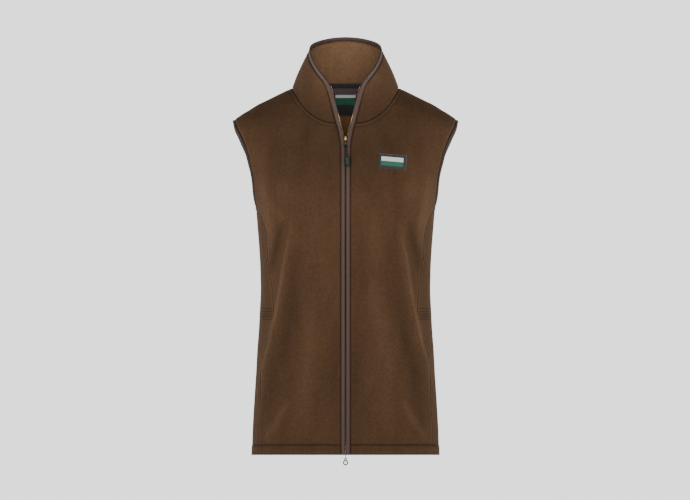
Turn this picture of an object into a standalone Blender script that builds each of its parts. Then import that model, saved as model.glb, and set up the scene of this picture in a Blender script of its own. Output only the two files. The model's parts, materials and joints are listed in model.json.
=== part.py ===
import math

import bpy
import numpy as np
from mathutils import Vector
from mathutils.bvhtree import BVHTree

for item in list(bpy.data.objects):
    bpy.data.objects.remove(item, do_unlink=True)

# Named sizes, in millimetres. The origin is between the two neck points of the shoulder seams.
wall = 2.5
gap = 0.5
ring_power = 2.4
hem_z = -712.0
hem_front_rise = 10.0
hem_line_z = 20.0
hem_swell = 0.5
armpit_z = -231.0
shoulder_tip_z = -57.0
neck_point_z = 4.0
binding_width = 8.0
arm_binding_width = 6.0
tape_wall = 0.9
label_wide = 54.0
label_high = 28.0
label_x = 89.4
label_z = -143.5
label_tilt = 4.5
neck_label_wide = 43.0
neck_label_top = -3.0
neck_label_low = -45.0
ring_radius = 4.3

# Body rings: height, half width, depth of the front, depth of the back.
body_rings = np.array([
    (-712, 182.5, 124, 121),
    (-663, 181.0, 122.5, 120),
    (-624, 179.0, 121.5, 119.5),
    (-585, 176.5, 120.5, 118),
    (-546, 174.0, 119, 115),
    (-507, 172.0, 118, 112),
    (-468, 169.0, 118, 109),
    (-429, 167.0, 118, 107),
    (-390, 165.3, 120.5, 109),
    (-351, 166.0, 124, 112),
    (-312, 168.0, 127, 117),
    (-273, 171.0, 129, 121),
    (-234, 174.5, 128.5, 123.5),
    (-205, 183.0, 126.5, 124),
    (-180, 191.0, 122, 122.5),
    (-150, 204.0, 113, 119),
    (-120, 218.0, 101, 113.5),
    (-100, 224.0, 93, 109),
    (-80, 226.0, 85, 102.5),
    (-60, 217.5, 76.5, 95),
    (-49, 203.6, 71.5, 91),
    (-39, 187.2, 67.5, 86.5),
    (-29, 171.2, 63.5, 81.5),
    (-19.5, 151.6, 59.5, 76.5),
    (-10, 132.6, 55.0, 71.5),
    (0, 112.2, 50.0, 65.5),
    (4, 104.2, 47.5, 63),
    (13, 98.0, 42.0, 58),
    (24, 93.0, 38.0, 52),
], float)

# Half width of the zip edge of the fleece at each height.
zip_edge = np.array([
    (-712, 9.3), (-118, 9.3), (-110, 9.7), (-102, 10.8), (-95, 12.0),
    (-87, 13.6), (-76, 16.2), (-68.5, 18.6), (-60, 21.0),
], float)

# Neckline of the front: half width, height.
front_neck = np.array([
    (18.6, -68.5), (34.0, -66.3), (50.5, -60.3), (67.0, -49.5),
    (83.0, -33.5), (94.5, -16.0), (101.5, -3.0),
], float)

# Neckline of the back: half width, height.
back_neck = np.array([
    (0.0, 13.0), (24.0, 12.9), (48.0, 12.6), (70.0, 11.8), (87.0, 10.2), (98.0, 7.6),
], float)

# Armhole edge of the fleece seen from the side: depth, height, for the front and for the back.
front_arm = np.array([
    (-29, -231), (-38.5, -217), (-49.0, -199), (-57.5, -179), (-61.5, -157), (-61.5, -136),
    (-58.0, -115), (-51.5, -97), (-42.0, -80), (-31.0, -68), (-17.0, -60),
], float)
back_arm = np.array([
    (31, -231), (43.0, -216), (54.0, -198), (61.0, -178), (64.5, -157), (65.0, -136),
    (62.0, -115), (56.0, -97), (46.0, -80), (33.5, -68), (17.5, -60),
], float)
arm_low = (1.0, -237.5)

# Side seam: height, angle from the middle of the front, angle of the back edge of the side piece.
side_seam = np.array([
    (-712, 66.0, 66.0),
    (-694, 66.0, 66.0),
    (-655, 66.4, 66.4),
    (-610, 66.0, 66.0),
    (-565, 66.4, 66.4),
    (-521, 65.8, 65.8),
    (-490, 60.5, 82.0),
    (-460, 54.5, 96.0),
    (-432, 52.5, 102.0),
    (-404, 54.5, 98.0),
    (-372, 57.0, 80.0),
    (-342, 60.0, 67.0),
    (-326, 61.0, 61.0),
    (-306, 60.3, 60.3),
    (-282, 60.0, 60.0),
    (-262, 63.6, 63.6),
    (-246, 69.0, 69.0),
], float)

# Soft ridges of the front and back: half width, height, then size and breadth of the ridge.
ridges = {
    "front": [
        [(106, -292), (112, -318), (119, -350), (126, -392), (134, -428), (143, -478),
         (151, -515), (158, -561), (164, -602), (168, -652)],
        [(106, -588), (125, -640), (143, -675)],
        [(166, -170), (171, -205)],
    ],
    "back": [
        [(120, -270), (128, -330), (136, -400), (145, -480), (154, -560)],
        [(60, -360), (78, -430), (104, -500), (128, -560)],
    ],
}
ridge_size = {"front": [(2.6, 9), (1.4, 12), (1.2, 8)], "back": [(2.0, 14), (1.6, 16)]}

# Collar: edge points from the zip edge round to the middle of the back.
collar_front = np.array([
    (18.9, -78.6, -67.5), (22.8, -78.4, -54.0), (26.8, -77.8, -40.0), (30.4, -77.0, -26.0),
    (33.9, -76.0, -12.0), (37.4, -74.6, -0.5), (42.0, -71.8, 9.0),
], float)
collar_top = np.array([
    (42.0, -71.8, 9.0), (48.4, -65.8, 17.0), (55.0, -56.8, 26.2), (61.8, -45.6, 37.2),
    (68.2, -32.4, 49.6), (72.4, -17.8, 61.2), (73.6, -2.0, 71.2), (71.2, 13.0, 79.4),
    (64.6, 27.0, 85.8), (54.0, 39.5, 90.8), (38.6, 49.8, 95.4), (20.5, 56.2, 98.8),
    (0.0, 58.2, 100.2),
], float)
collar_bulge = 1.5


def smooth_table(table, z):
    """Monotone smooth reading of every column of a table at z."""
    xs = table[:, 0]
    z = min(max(float(z), xs[0]), xs[-1])
    i = min(max(int(np.searchsorted(xs, z)) - 1, 0), len(xs) - 2)
    h = xs[i + 1] - xs[i]
    t = (z - xs[i]) / h

    def slope(k):
        if k == 0:
            return (table[1, 1:] - table[0, 1:]) / (xs[1] - xs[0])
        if k == len(xs) - 1:
            return (table[-1, 1:] - table[-2, 1:]) / (xs[-1] - xs[-2])
        left = (table[k, 1:] - table[k - 1, 1:]) / (xs[k] - xs[k - 1])
        right = (table[k + 1, 1:] - table[k, 1:]) / (xs[k + 1] - xs[k])
        both = left * right > 0
        return np.where(both, 2 * left * right / np.where(both, left + right, 1), 0)

    a = table[i, 1:]
    b = table[i + 1, 1:]
    h00 = 2 * t ** 3 - 3 * t ** 2 + 1
    h10 = t ** 3 - 2 * t ** 2 + t
    h01 = -2 * t ** 3 + 3 * t ** 2
    h11 = t ** 3 - t ** 2
    return h00 * a + h10 * h * slope(i) + h01 * b + h11 * h * slope(i + 1)


def ease(t):
    t = min(max(t, 0.0), 1.0)
    return t * t * (3 - 2 * t)


def ridge_lift(face, x, z):
    """How far the soft ridges push the cloth out at a place seen from the front or back."""
    lift = 0.0
    p = np.array([abs(x), z])
    for line, (size, breadth) in zip(ridges[face], ridge_size[face]):
        pts = np.array(line, float)
        total = len(pts) - 1
        best = 1e9
        at = 0.0
        for k in range(total):
            a = pts[k]
            d = pts[k + 1] - a
            t = min(max(float(np.dot(p - a, d) / np.dot(d, d)), 0.0), 1.0)
            far = float(np.linalg.norm(p - a - t * d))
            if far < best:
                best = far
                at = (k + t) / total
        fade = math.sin(math.pi * min(max(at, 0.0), 1.0)) ** 0.6
        lift += size * fade * math.exp(-((best / breadth) ** 2))
    return lift


def body(angle, z):
    """Outer surface of the body at an angle from the middle of the front, right half."""
    w, f, b = smooth_table(body_rings, z)
    s = math.sin(math.radians(angle))
    c = math.cos(math.radians(angle))
    p = 2 / ring_power
    x = w * abs(s) ** p * (1 if s >= 0 else -1)
    face = "front" if c >= 0 else "back"
    deep = f if c >= 0 else b
    y = -deep * abs(c) ** p * (1 if c >= 0 else -1)
    nx = (abs(x) / w) ** (ring_power - 1) / w * (1 if x >= 0 else -1)
    ny = (abs(y) / deep) ** (ring_power - 1) / deep * (1 if y >= 0 else -1)
    far = math.hypot(nx, ny)
    lift = ridge_lift(face, x, z)
    lift += hem_swell * (1 - ease((z - hem_z - hem_line_z + 1.0) / 4.0))
    return np.array([x + lift * nx / far, y + lift * ny / far, z])


def body_normal(angle, z):
    e = 0.6
    if angle > 90 - e and angle < 90 + e:
        side = body(90 + e, z) - body(90 - e, z)
    else:
        side = body(angle + e, z) - body(angle - e, z)
    up = body(angle, z + 1.0) - body(angle, z - 1.0)
    n = np.cross(side, up)
    return n / np.linalg.norm(n)


def angle_of_x(x, z):
    w = smooth_table(body_rings, z)[0]
    return math.degrees(math.asin(min(1.0, (abs(x) / w)) ** (ring_power / 2)))


def angle_of_y(y, z):
    w, f, b = smooth_table(body_rings, z)
    deep = f if y < 0 else b
    turn = math.degrees(math.acos(min(1.0, (abs(y) / deep)) ** (ring_power / 2)))
    return turn if y < 0 else 180 - turn


def hem_at(angle):
    rise = max(0.0, math.cos(math.radians(angle))) ** 0.8
    return hem_z + hem_front_rise * rise


def resample(points, count):
    """The polyline again with evenly spaced points."""
    points = np.asarray(points, float)
    step = np.linalg.norm(np.diff(points, axis=0), axis=1)
    along = np.concatenate([[0], np.cumsum(step)])
    at = np.linspace(0, along[-1], count)
    return np.stack([np.interp(at, along, points[:, k]) for k in range(points.shape[1])], axis=1)


def patch(low, high, left, right):
    """A net of points between four edges: low and high run along, left and right run up."""
    low, high, left, right = (np.asarray(e, float) for e in (low, high, left, right))
    rows = len(left)
    cols = len(low)
    net = np.zeros((rows, cols, low.shape[1]))
    lv = np.linspace(0, 1, rows)
    span = np.linalg.norm(np.diff(left, axis=0), axis=1)
    lv[1:] = np.cumsum(span) / span.sum()
    for i in range(rows):
        v = lv[i]
        for j in range(cols):
            u = j / (cols - 1)
            ends = (1 - u) * left[i] + u * right[i]
            sides = (1 - v) * low[j] + v * high[j]
            corners = (1 - u) * (1 - v) * low[0] + u * (1 - v) * low[-1]
            corners = corners + (1 - u) * v * high[0] + u * v * high[-1]
            net[i, j] = ends + sides - corners
    return net


def as_object(name, points, faces, mat):
    mesh = bpy.data.meshes.new(name)
    mesh.from_pydata([tuple(p * 0.001) for p in points], [], faces)
    mesh.update()
    obj = bpy.data.objects.new(name, mesh)
    bpy.context.scene.collection.objects.link(obj)
    obj.data.materials.append(mat)
    return obj


def sheet(name, outer, inner, cells, mat):
    """A closed piece between two nets of points, over the listed cells of the net."""
    rows, cols = outer.shape[:2]
    index = {}
    points = []

    def at(i, j, layer):
        key = (i, j, layer)
        if key not in index:
            index[key] = len(points)
            points.append((outer, inner)[layer][i, j])
        return index[key]

    faces = []
    edges = {}
    for i, j in cells:
        ring = [(i, j), (i, j + 1), (i + 1, j + 1), (i + 1, j)]
        one = np.linalg.norm(outer[ring[0]] - outer[ring[2]])
        two = np.linalg.norm(outer[ring[1]] - outer[ring[3]])
        start = 0 if one < two - 1e-6 else 1
        turned = ring[start:] + ring[:start]
        for three in ((turned[0], turned[1], turned[2]), (turned[0], turned[2], turned[3])):
            faces.append([at(a, b, 0) for a, b in three])
            faces.append([at(a, b, 1) for a, b in reversed(three)])
        for k in range(4):
            edges[(ring[k], ring[(k + 1) % 4])] = True
    for a, b in edges:
        if (b, a) in edges:
            continue
        if outer[a][2] < outer[b][2]:
            faces.append([at(*b, 0), at(*a, 0), at(*b, 1)])
            faces.append([at(*a, 0), at(*a, 1), at(*b, 1)])
        else:
            faces.append([at(*b, 0), at(*a, 0), at(*a, 1)])
            faces.append([at(*b, 0), at(*a, 1), at(*b, 1)])
    return as_object(name, points, faces, mat)


def sweep(name, rings, mat, closed=False):
    """A closed piece through rings of points; the ends are capped unless it is a loop."""
    rings = np.asarray(rings, float)
    count, size = rings.shape[:2]
    points = list(rings.reshape(-1, 3))
    faces = []
    for i in range(count if closed else count - 1):
        a = i * size
        b = ((i + 1) % count) * size
        rising = rings[(i + 1) % count, 1, 2] > rings[i, 1, 2]
        for k in range(size):
            m = (k + 1) % size
            if rising:
                faces.append([a + k, a + m, b + k])
                faces.append([a + m, b + m, b + k])
            else:
                faces.append([a + k, a + m, b + m])
                faces.append([a + k, b + m, b + k])
    if not closed:
        faces.append(list(range(size))[::-1])
        faces.append([(count - 1) * size + k for k in range(size)])
    return as_object(name, points, faces, mat)


def face_out(obj):
    """Turns the faces of a closed piece to look outward."""
    mesh = obj.data
    size = 0.0
    for poly in mesh.polygons:
        a = mesh.vertices[poly.vertices[0]].co
        for k in range(1, len(poly.vertices) - 1):
            b = mesh.vertices[poly.vertices[k]].co
            c = mesh.vertices[poly.vertices[k + 1]].co
            size += a.dot(b.cross(c))
    if size < 0:
        mesh.flip_normals()
    return obj


def mirrored(points):
    return np.asarray(points, float) * np.array([-1.0, 1.0, 1.0])


def material(name, colour, rough, metal=0.0):
    mat = bpy.data.materials.new(name)
    mat.use_nodes = True
    shader = mat.node_tree.nodes["Principled BSDF"]
    shader.inputs["Base Color"].default_value = (*colour, 1)
    shader.inputs["Roughness"].default_value = rough
    shader.inputs["Metallic"].default_value = metal
    mat.diffuse_color = (*colour, 1)
    return mat


fleece = material("fleece", (0.085, 0.038, 0.018), 0.95)
binding = material("binding", (0.11, 0.068, 0.06), 0.7)
tape_cloth = material("tape", (0.03, 0.02, 0.02), 0.8)
brass = material("brass", (0.58, 0.39, 0.16), 0.3, 1.0)
steel = material("steel", (0.35, 0.34, 0.32), 0.35, 1.0)
cord_cloth = material("cord", (0.02, 0.018, 0.016), 0.8)
rubber = material("rubber", (0.02, 0.03, 0.025), 0.6)
label_cloth = material("label", (0.04, 0.04, 0.045), 0.8)
black_cloth = material("black_tape", (0.01, 0.01, 0.011), 0.8)
plum_cloth = material("plum", (0.07, 0.035, 0.038), 0.85)


def net_surface(net):
    """Outer points and outward normals of a net of (angle, height) pairs."""
    rows, cols = net.shape[:2]
    outer = np.zeros((rows, cols, 3))
    normal = np.zeros((rows, cols, 3))
    for i in range(rows):
        for j in range(cols):
            outer[i, j] = body(*net[i, j])
            normal[i, j] = body_normal(*net[i, j])
    return outer, normal


def pull_back(net, outer, cells, amount):
    """Moves the free edges of a net inward along the cloth by an amount in millimetres."""
    rows, cols = net.shape[:2]
    inside = {}
    moved = net.copy()
    edges = {}
    for i, j in cells:
        ring = [(i, j), (i, j + 1), (i + 1, j + 1), (i + 1, j)]
        for k in range(4):
            edges[(ring[k], ring[(k + 1) % 4])] = (i, j)
    for (a, b), cell in edges.items():
        if (b, a) in edges:
            continue
        pa = outer[a]
        pb = outer[b]
        i, j = cell
        middle = (outer[i, j] + outer[i + 1, j] + outer[i, j + 1] + outer[i + 1, j + 1]) / 4
        along = (pb - pa) / max(np.linalg.norm(pb - pa), 1e-9)
        inward = middle - pa
        inward = inward - np.dot(inward, along) * along
        inward = inward / np.linalg.norm(inward)
        for p in (a, b):
            inside.setdefault(p, []).append((inward, along))
    shift = {}
    for p, both in inside.items():
        if len(both) == 1:
            shift[p] = both[0][0] * amount
            continue
        m = both[0][0] + both[1][0]
        m = m / max(np.linalg.norm(m), 1e-9)
        shift[p] = m * amount / max(float(np.dot(m, both[0][0])), 0.45)
    out = outer.copy()
    for p, s in shift.items():
        out[p] = outer[p] + s
    return out, moved


def all_cells(rows, cols):
    return [(i, j) for i in range(rows - 1) for j in range(cols - 1)]


# Front panel of the wearer's left, on the viewer's right. The other is its mirror image.
front_cols = 11
seam_rows = list(side_seam[:, 0]) + [armpit_z]
seam_angle = list(side_seam[:, 1]) + [angle_of_y(front_arm[0, 0], armpit_z)]
back_angle = list(side_seam[:, 2]) + [angle_of_y(front_arm[0, 0], armpit_z)]


def zip_angle(z):
    return angle_of_x(np.interp(z, zip_edge[:, 0], zip_edge[:, 1]), z)


front_left_curve = []
front_right_curve = []
for k, z in enumerate(seam_rows):
    start = z
    if k == 0:
        start = hem_at(0)
    if k == 1:
        start = hem_at(0) + 18
    front_left_curve.append((zip_angle(start), start))
    end = hem_at(seam_angle[0]) if k == 0 else z
    if k == 1:
        end = hem_at(seam_angle[0]) + 18
    front_right_curve.append((seam_angle[k], end))
low_edge = [(a, hem_at(a)) for a in np.linspace(zip_angle(-702), seam_angle[0], front_cols)]
turn = np.linspace(zip_angle(armpit_z), seam_angle[-1], front_cols)
high_edge = [(a, armpit_z) for a in turn]
front_low = patch(low_edge, high_edge, front_left_curve, front_right_curve)

arm_curve = [(angle_of_y(y, z), z) for y, z in front_arm] + [(90.0, shoulder_tip_z)]
cf_rows = [-231, -213, -195, -178, -161, -145, -130, -118, -106, -95, -82, -68.5]
cf_curve = [(zip_angle(z), z) for z in cf_rows]
neck_curve = [(angle_of_x(x, z), z) for x, z in front_neck] + [(90.0, neck_point_z)]
shoulder_curve = [(90.0, z) for z in np.linspace(neck_point_z, shoulder_tip_z, 6)]
neck_points = resample([body(a, z) for a, z in neck_curve], 6)
front_top = []
for p in neck_points[:-1]:
    front_top.append((angle_of_x(p[0], p[2]), p[2]))
front_top = front_top + shoulder_curve
front_up = patch(high_edge, front_top, cf_curve, arm_curve)
front_net = np.concatenate([front_low, front_up[1:]])
front_cells = all_cells(*front_net.shape[:2])
front_outer, front_normal = net_surface(front_net)
front_edge, _ = pull_back(front_net, front_outer, front_cells, gap / 2)
sheet("front_left", front_edge, front_edge - wall * front_normal, front_cells, fleece)
flipped = mirrored(front_edge)
flipped_inner = mirrored(front_edge - wall * front_normal)
sheet("front_right", flipped[:, ::-1], flipped_inner[:, ::-1], front_cells, fleece)

# Back panel: half a net from the middle of the back, then both halves as one piece.
under_cols = 2
back_half = 12
seam_count = len(seam_rows)
cb_curve = [(180.0, hem_z if k == 0 else z) for k, z in enumerate(seam_rows)]
cb_curve[1] = (180.0, hem_z + 18)
side_curve = []
for k, z in enumerate(seam_rows):
    side_curve.append((back_angle[k], front_right_curve[k][1]))
low_turn = np.linspace(180, seam_angle[0], back_half)
low_back = [(a, hem_at(a)) for a in low_turn]
top_turn = np.linspace(180, angle_of_y(back_arm[0, 0], armpit_z), back_half - under_cols)
top_back = [(a, armpit_z) for a in top_turn]
top_back.append((angle_of_y(arm_low[0], arm_low[1]), arm_low[1]))
top_back.append((seam_angle[-1], armpit_z))
back_low = patch(low_back, top_back, cb_curve, side_curve)
back_arm_curve = [(angle_of_y(y, z), z) for y, z in back_arm] + [(90.0, shoulder_tip_z)]
cb_up = [(180.0, z) for z in (-231, -206, -181, -156, -131, -107, -84, -62, -41, -22, -4, 13)]
neck_back = [body(180 - angle_of_x(x, z), z) for x, z in back_neck] + [body(90, neck_point_z)]
neck_back = resample(neck_back, 5)
back_top = []
for p in neck_back[:-1]:
    back_top.append((180 - angle_of_x(p[0], p[2]), p[2]))
back_top = back_top + shoulder_curve
back_up = patch(top_back[:back_half - under_cols], back_top, cb_up, back_arm_curve)
rows_low = back_low.shape[0]
rows_up = back_up.shape[0]
half = np.zeros((rows_low + rows_up - 1, back_half, 2))
half[:rows_low] = back_low
half[rows_low:, :back_half - under_cols] = back_up[1:]
half[rows_low:, back_half - under_cols:] = back_up[1:, -1:]
half_outer, half_normal = net_surface(half)
full_outer = np.concatenate([half_outer[:, ::-1], mirrored(half_outer[:, 1:])], axis=1)
full_normal = np.concatenate([half_normal[:, ::-1], mirrored(half_normal[:, 1:])], axis=1)
full_cols = full_outer.shape[1]
back_cells = []
for i in range(full_outer.shape[0] - 1):
    for j in range(full_cols - 1):
        under = j < under_cols or j >= full_cols - 1 - under_cols
        if i < rows_low - 1 or not under:
            back_cells.append((i, j))
back_edge, _ = pull_back(half, full_outer, back_cells, gap / 2)
sheet("back", back_edge, back_edge - wall * full_normal, back_cells, fleece)

# Side pieces behind the pocket mouths.
first = int(np.where(side_seam[:, 0] == -521)[0][0])
last = int(np.where(side_seam[:, 0] == -326)[0][0])
kite_rows = [(first, 0.16)] + [(k, 0.0) for k in range(first + 1, last)] + [(last - 1, 0.82)]
kite = []
for k, t in kite_rows:
    z = side_seam[k, 0] * (1 - t) + side_seam[min(k + 1, last), 0] * t
    row_a = side_seam[k, 1] * (1 - t) + side_seam[min(k + 1, last), 1] * t
    row_b = side_seam[k, 2] * (1 - t) + side_seam[min(k + 1, last), 2] * t
    kite.append([(a, z) for a in np.linspace(row_a, row_b, 6)])
kite = np.array(kite)
kite_outer, kite_normal = net_surface(kite)
kite_cells = all_cells(*kite.shape[:2])
kite_edge, _ = pull_back(kite, kite_outer, kite_cells, gap * 0.62)
sheet("pocket_left", kite_edge, kite_edge - wall * kite_normal, kite_cells, fleece)
kite_flip = mirrored(kite_edge)
kite_in = mirrored(kite_edge - wall * kite_normal)
sheet("pocket_right", kite_flip[:, ::-1], kite_in[:, ::-1], kite_cells, fleece)

# Collar: a net between the neckline and the top edge, half, then both halves as one piece.
base_line = [front_outer[-1, j] for j in range(6)]
base_line += [half_outer[-1, j] * np.array([1, 1, 1]) for j in range(3, -1, -1)]
base_fine = []
for k in range(len(base_line) - 1):
    base_fine.append(base_line[k])
    base_fine.append((base_line[k] + base_line[k + 1]) / 2)
base_fine.append(base_line[-1])
base_fine = np.array(base_fine)
top_fine = resample(collar_top, len(base_fine))
front_rows = resample(collar_front, 6)
front_rows[0] = base_fine[0]
middle_rows = np.linspace(base_fine[-1], top_fine[-1], 6)
collar_half = patch(base_fine, top_fine, front_rows, middle_rows)


def net_normals(net):
    """Normals of a net of space points, from its own neighbours."""
    rows, cols = net.shape[:2]
    out = np.zeros_like(net)
    for i in range(rows):
        for j in range(cols):
            side = net[i, min(j + 1, cols - 1)] - net[i, max(j - 1, 0)]
            up = net[min(i + 1, rows - 1), j] - net[max(i - 1, 0), j]
            n = np.cross(side, up)
            out[i, j] = n / np.linalg.norm(n)
    return out


rows_c, cols_c = collar_half.shape[:2]
first_normal = net_normals(collar_half)
for i in range(rows_c):
    v = i / (rows_c - 1)
    for j in range(cols_c):
        u = j / (cols_c - 1)
        swell = collar_bulge * math.sin(math.pi * v) * min(1.0, 2.2 * u + 0.15)
        collar_half[i, j] = collar_half[i, j] + swell * first_normal[i, j]
collar_net = np.concatenate([collar_half, mirrored(collar_half[:, ::-1])[:, 1:]], axis=1)
collar_normal = net_normals(collar_net)
collar_cols = collar_net.shape[1]
collar_cells = all_cells(rows_c, collar_cols)
collar_edge, _ = pull_back(collar_net[:, :, :2], collar_net, collar_cells, gap / 2)
rise = collar_net[1] - collar_net[0]
rise = rise / np.linalg.norm(rise, axis=1, keepdims=True)
collar_edge[0, 1:-1] = collar_net[0, 1:-1] + rise[1:-1] * gap
collar_edge[0, 0] = collar_edge[0, 0] + rise[0] * gap / 2
collar_edge[0, -1] = collar_edge[0, -1] + rise[-1] * gap / 2
face_out(sheet("collar", collar_edge, collar_edge - wall * collar_normal, collar_cells, fleece))


# Bindings: rounded strips that follow the free edges of the cloth.
def edge_frames(points, normals, toward, closed=False):
    """For each edge point the direction out of the cloth, square to the edge."""
    points = np.asarray(points, float)
    count = len(points)
    out = []
    for k in range(count):
        if closed:
            along = points[(k + 1) % count] - points[k - 1]
        else:
            along = points[min(k + 1, count - 1)] - points[max(k - 1, 0)]
        along = along / np.linalg.norm(along)
        side = np.cross(along, normals[k])
        side = side / np.linalg.norm(side)
        if np.dot(side, toward[k]) < 0:
            side = -side
        out.append(side)
    return np.array(out)


def strip_section(width):
    return [
        (0.8 * gap, -2.3), (0.8 * gap, 0.15), (0.14 * width, 0.85), (0.5 * width, 1.1),
        (0.86 * width, 0.75), (width, 0.0), (width, -1.7), (0.9 * width, -2.3),
    ]


def strip_rings(points, normals, sides, widths, section=strip_section):
    rings = []
    for p, n, s, w in zip(points, normals, sides, widths):
        rings.append([p + a * s + b * n for a, b in section(w)])
    return np.array(rings)


zip_count = front_net.shape[0]
strip_points = [front_edge[i, 0] for i in range(zip_count)]
strip_normals = [front_normal[i, 0] for i in range(zip_count)]
strip_points += [collar_edge[i, 0] for i in range(1, rows_c)]
strip_normals += [collar_normal[i, 0] for i in range(1, rows_c)]
strip_points = np.array(strip_points)
strip_normals = np.array(strip_normals)
strip_normals[zip_count - 1] = front_normal[-1, 0] + collar_normal[0, 0]
strip_normals /= np.linalg.norm(strip_normals, axis=1, keepdims=True)
toward_mid = np.tile(np.array([-1.0, 0, 0]), (len(strip_points), 1))
strip_sides = edge_frames(strip_points, strip_normals, toward_mid)

top_points = np.array([collar_edge[-1, j] for j in range(collar_cols)])
top_normals = np.array([collar_normal[-1, j] for j in range(collar_cols)])
toward_up = np.array([collar_edge[-1, j] - collar_edge[-2, j] for j in range(collar_cols)])
top_sides = edge_frames(top_points, top_normals, toward_up)
corner_side = strip_sides[-1] + top_sides[0]
corner_side /= np.linalg.norm(corner_side)
bend = 1 / float(np.dot(corner_side, top_sides[0]))
split = np.cross(corner_side, strip_normals[-1])
split /= np.linalg.norm(split)
if np.dot(split, strip_points[-1] - strip_points[-2]) < 0:
    split = -split

front_rings = strip_rings(strip_points, strip_normals, strip_sides, [binding_width] * 99)
corner_ring = strip_rings([strip_points[-1]], [strip_normals[-1]], [corner_side * bend], [binding_width])
front_rings[-1] = corner_ring[0] - split * gap / 2
face_out(sweep("front_binding_left", front_rings, binding))
face_out(sweep("front_binding_right", mirrored(front_rings), binding))

top_widths = [binding_width] * collar_cols
top_rings = strip_rings(top_points, top_normals, top_sides, top_widths)
top_rings[0] = corner_ring[0] + split * gap / 2
top_rings[-1] = mirrored(top_rings[0])
face_out(sweep("collar_binding", top_rings, binding))

# Armhole bindings: closed loops round each armhole, from the edges of the front and back panels.
low_row = len(seam_rows) - 1
arm_col = back_half - under_cols - 1
turned = back_edge[:, :back_half][:, ::-1]
turned_normal = full_normal[:, :back_half][:, ::-1]
loop_points = [front_edge[i, front_cols - 1] for i in range(low_row + 1, zip_count)]
loop_normals = [front_normal[i, front_cols - 1] for i in range(low_row + 1, zip_count)]
for i in range(zip_count - 2, low_row, -1):
    loop_points.append(turned[i, arm_col])
    loop_normals.append(turned_normal[i, arm_col])
loop_points.append(turned[low_row, arm_col])
loop_normals.append(turned_normal[low_row, arm_col])
loop_points.append(turned[low_row, arm_col + 1])
loop_normals.append(turned_normal[low_row, arm_col + 1])
seam_end = (turned[low_row, back_half - 1] + front_edge[low_row, front_cols - 1]) / 2
loop_points.append(seam_end)
loop_normals.append(front_normal[low_row, front_cols - 1])
loop_points = np.array(loop_points)
loop_normals = np.array(loop_normals)
arm_middle = loop_points.mean(axis=0)
loop_toward = arm_middle - loop_points
loop_sides = edge_frames(loop_points, loop_normals, loop_toward, closed=True)
arm_rings = strip_rings(loop_points, loop_normals, loop_sides, [arm_binding_width] * 99)
face_out(sweep("armhole_binding_left", arm_rings, binding, closed=True))
face_out(sweep("armhole_binding_right", mirrored(arm_rings), binding, closed=True))


# Zip tapes behind the strips, deeper beside the teeth so that the sliders have room.
def tape_section(width):
    return [
        (width + 0.4, -4.4), (4.6, -4.4), (3.2, -3.4), (-4.5, -3.4),
        (-4.5, -3.4 - tape_wall), (2.8, -3.4 - tape_wall), (4.2, -4.4 - tape_wall),
        (width + 0.4, -4.4 - tape_wall),
    ]


tape_count = zip_count + rows_c - 2
tape_rings = strip_rings(strip_points[:tape_count], strip_normals, strip_sides,
                         [binding_width] * 99, tape_section)
face_out(sweep("zip_tape_left", tape_rings, tape_cloth))
face_out(sweep("zip_tape_right", mirrored(tape_rings), tape_cloth))


# Sliders: plates either side of the tapes, a post between them, a nose and a loop for the puller.
def centre_frame(z):
    """A place on the middle of the front with the directions across, up the cloth and out."""
    low = body(0.0, max(z - 9, hem_at(0)))
    high = body(0.0, z + 8)
    across = np.array([1.0, 0, 0])
    up = (high - low) / np.linalg.norm(high - low)
    out = np.cross(across, up)
    t = (z - low[2]) / (high[2] - low[2])
    return low + t * (high - low), across, up, out


def place(frame, x, u, b):
    at, across, up, out = frame
    return at + x * across + u * up + b * out


def block(name, frame, x, u, b, chamfer=0.0, mat=brass):
    """A plate with its corners cut, from half width, range up and range out."""
    c = chamfer
    outline = [
        (-x + c, u[0]), (x - c, u[0]), (x, u[0] + c), (x, u[1] - c),
        (x - c, u[1]), (-x + c, u[1]), (-x, u[1] - c), (-x, u[0] + c),
    ]
    if c == 0:
        outline = [(-x, u[0]), (x, u[0]), (x, u[1]), (-x, u[1])]
    rings = [[place(frame, px, pu, pb) for px, pu in outline] for pb in b]
    return face_out(sweep(name, rings, mat))


def loop_plate(name, frame, half_x, outer_loop, inner_loop, mat=brass):
    """A flat loop: an outline with a hole, given across its thickness."""
    rings = []
    for (ou, ob), (iu, ib) in zip(outer_loop, inner_loop):
        rings.append([
            place(frame, -half_x, ou, ob), place(frame, half_x, ou, ob),
            place(frame, half_x, iu, ib), place(frame, -half_x, iu, ib),
        ])
    return face_out(sweep(name, rings, mat, closed=True))


def oval(cu, cb, ru, rb, count, power=2.6):
    pts = []
    for k in range(count):
        t = 2 * math.pi * (k + 0.5) / count
        c = math.cos(t)
        q = math.sin(t)
        pu = cu + ru * math.copysign(abs(c) ** (2 / power), c)
        pb = cb + rb * math.copysign(abs(q) ** (2 / power), q)
        pts.append((pu, pb))
    return pts


def joined(name, parts):
    """The parts as one closed piece."""
    main = parts[0]
    for other in parts[1:]:
        cut = main.modifiers.new("join", "BOOLEAN")
        cut.operation = "UNION"
        cut.solver = "EXACT"
        cut.object = other
        other.hide_render = True
        other.display_type = "WIRE"
    main.name = name
    return main


top_frame = centre_frame(-102)
loop_hole = (-9.0, 2.95)
slider_top = joined("slider_top", [
    block("slider_top_front", top_frame, 4.2, (-11.5, 9.0), (-3.9, -2.9), 1.6),
    block("slider_top_back", top_frame, 4.2, (-11.5, 9.0), (-6.9, -5.9), 1.6),
    block("slider_top_post", top_frame, 1.4, (6.0, 8.6), (-6.4, -3.4)),
    block("slider_top_nose", top_frame, 1.7, (0.5, 8.8), (-3.4, 0.7), 0.5),
    loop_plate("slider_top_loop", top_frame, 0.75, oval(-7.8, 1.2, 4.8, 4.8, 16),
               oval(-8.9, 3.0, 2.5, 1.9, 16)),
])

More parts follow.
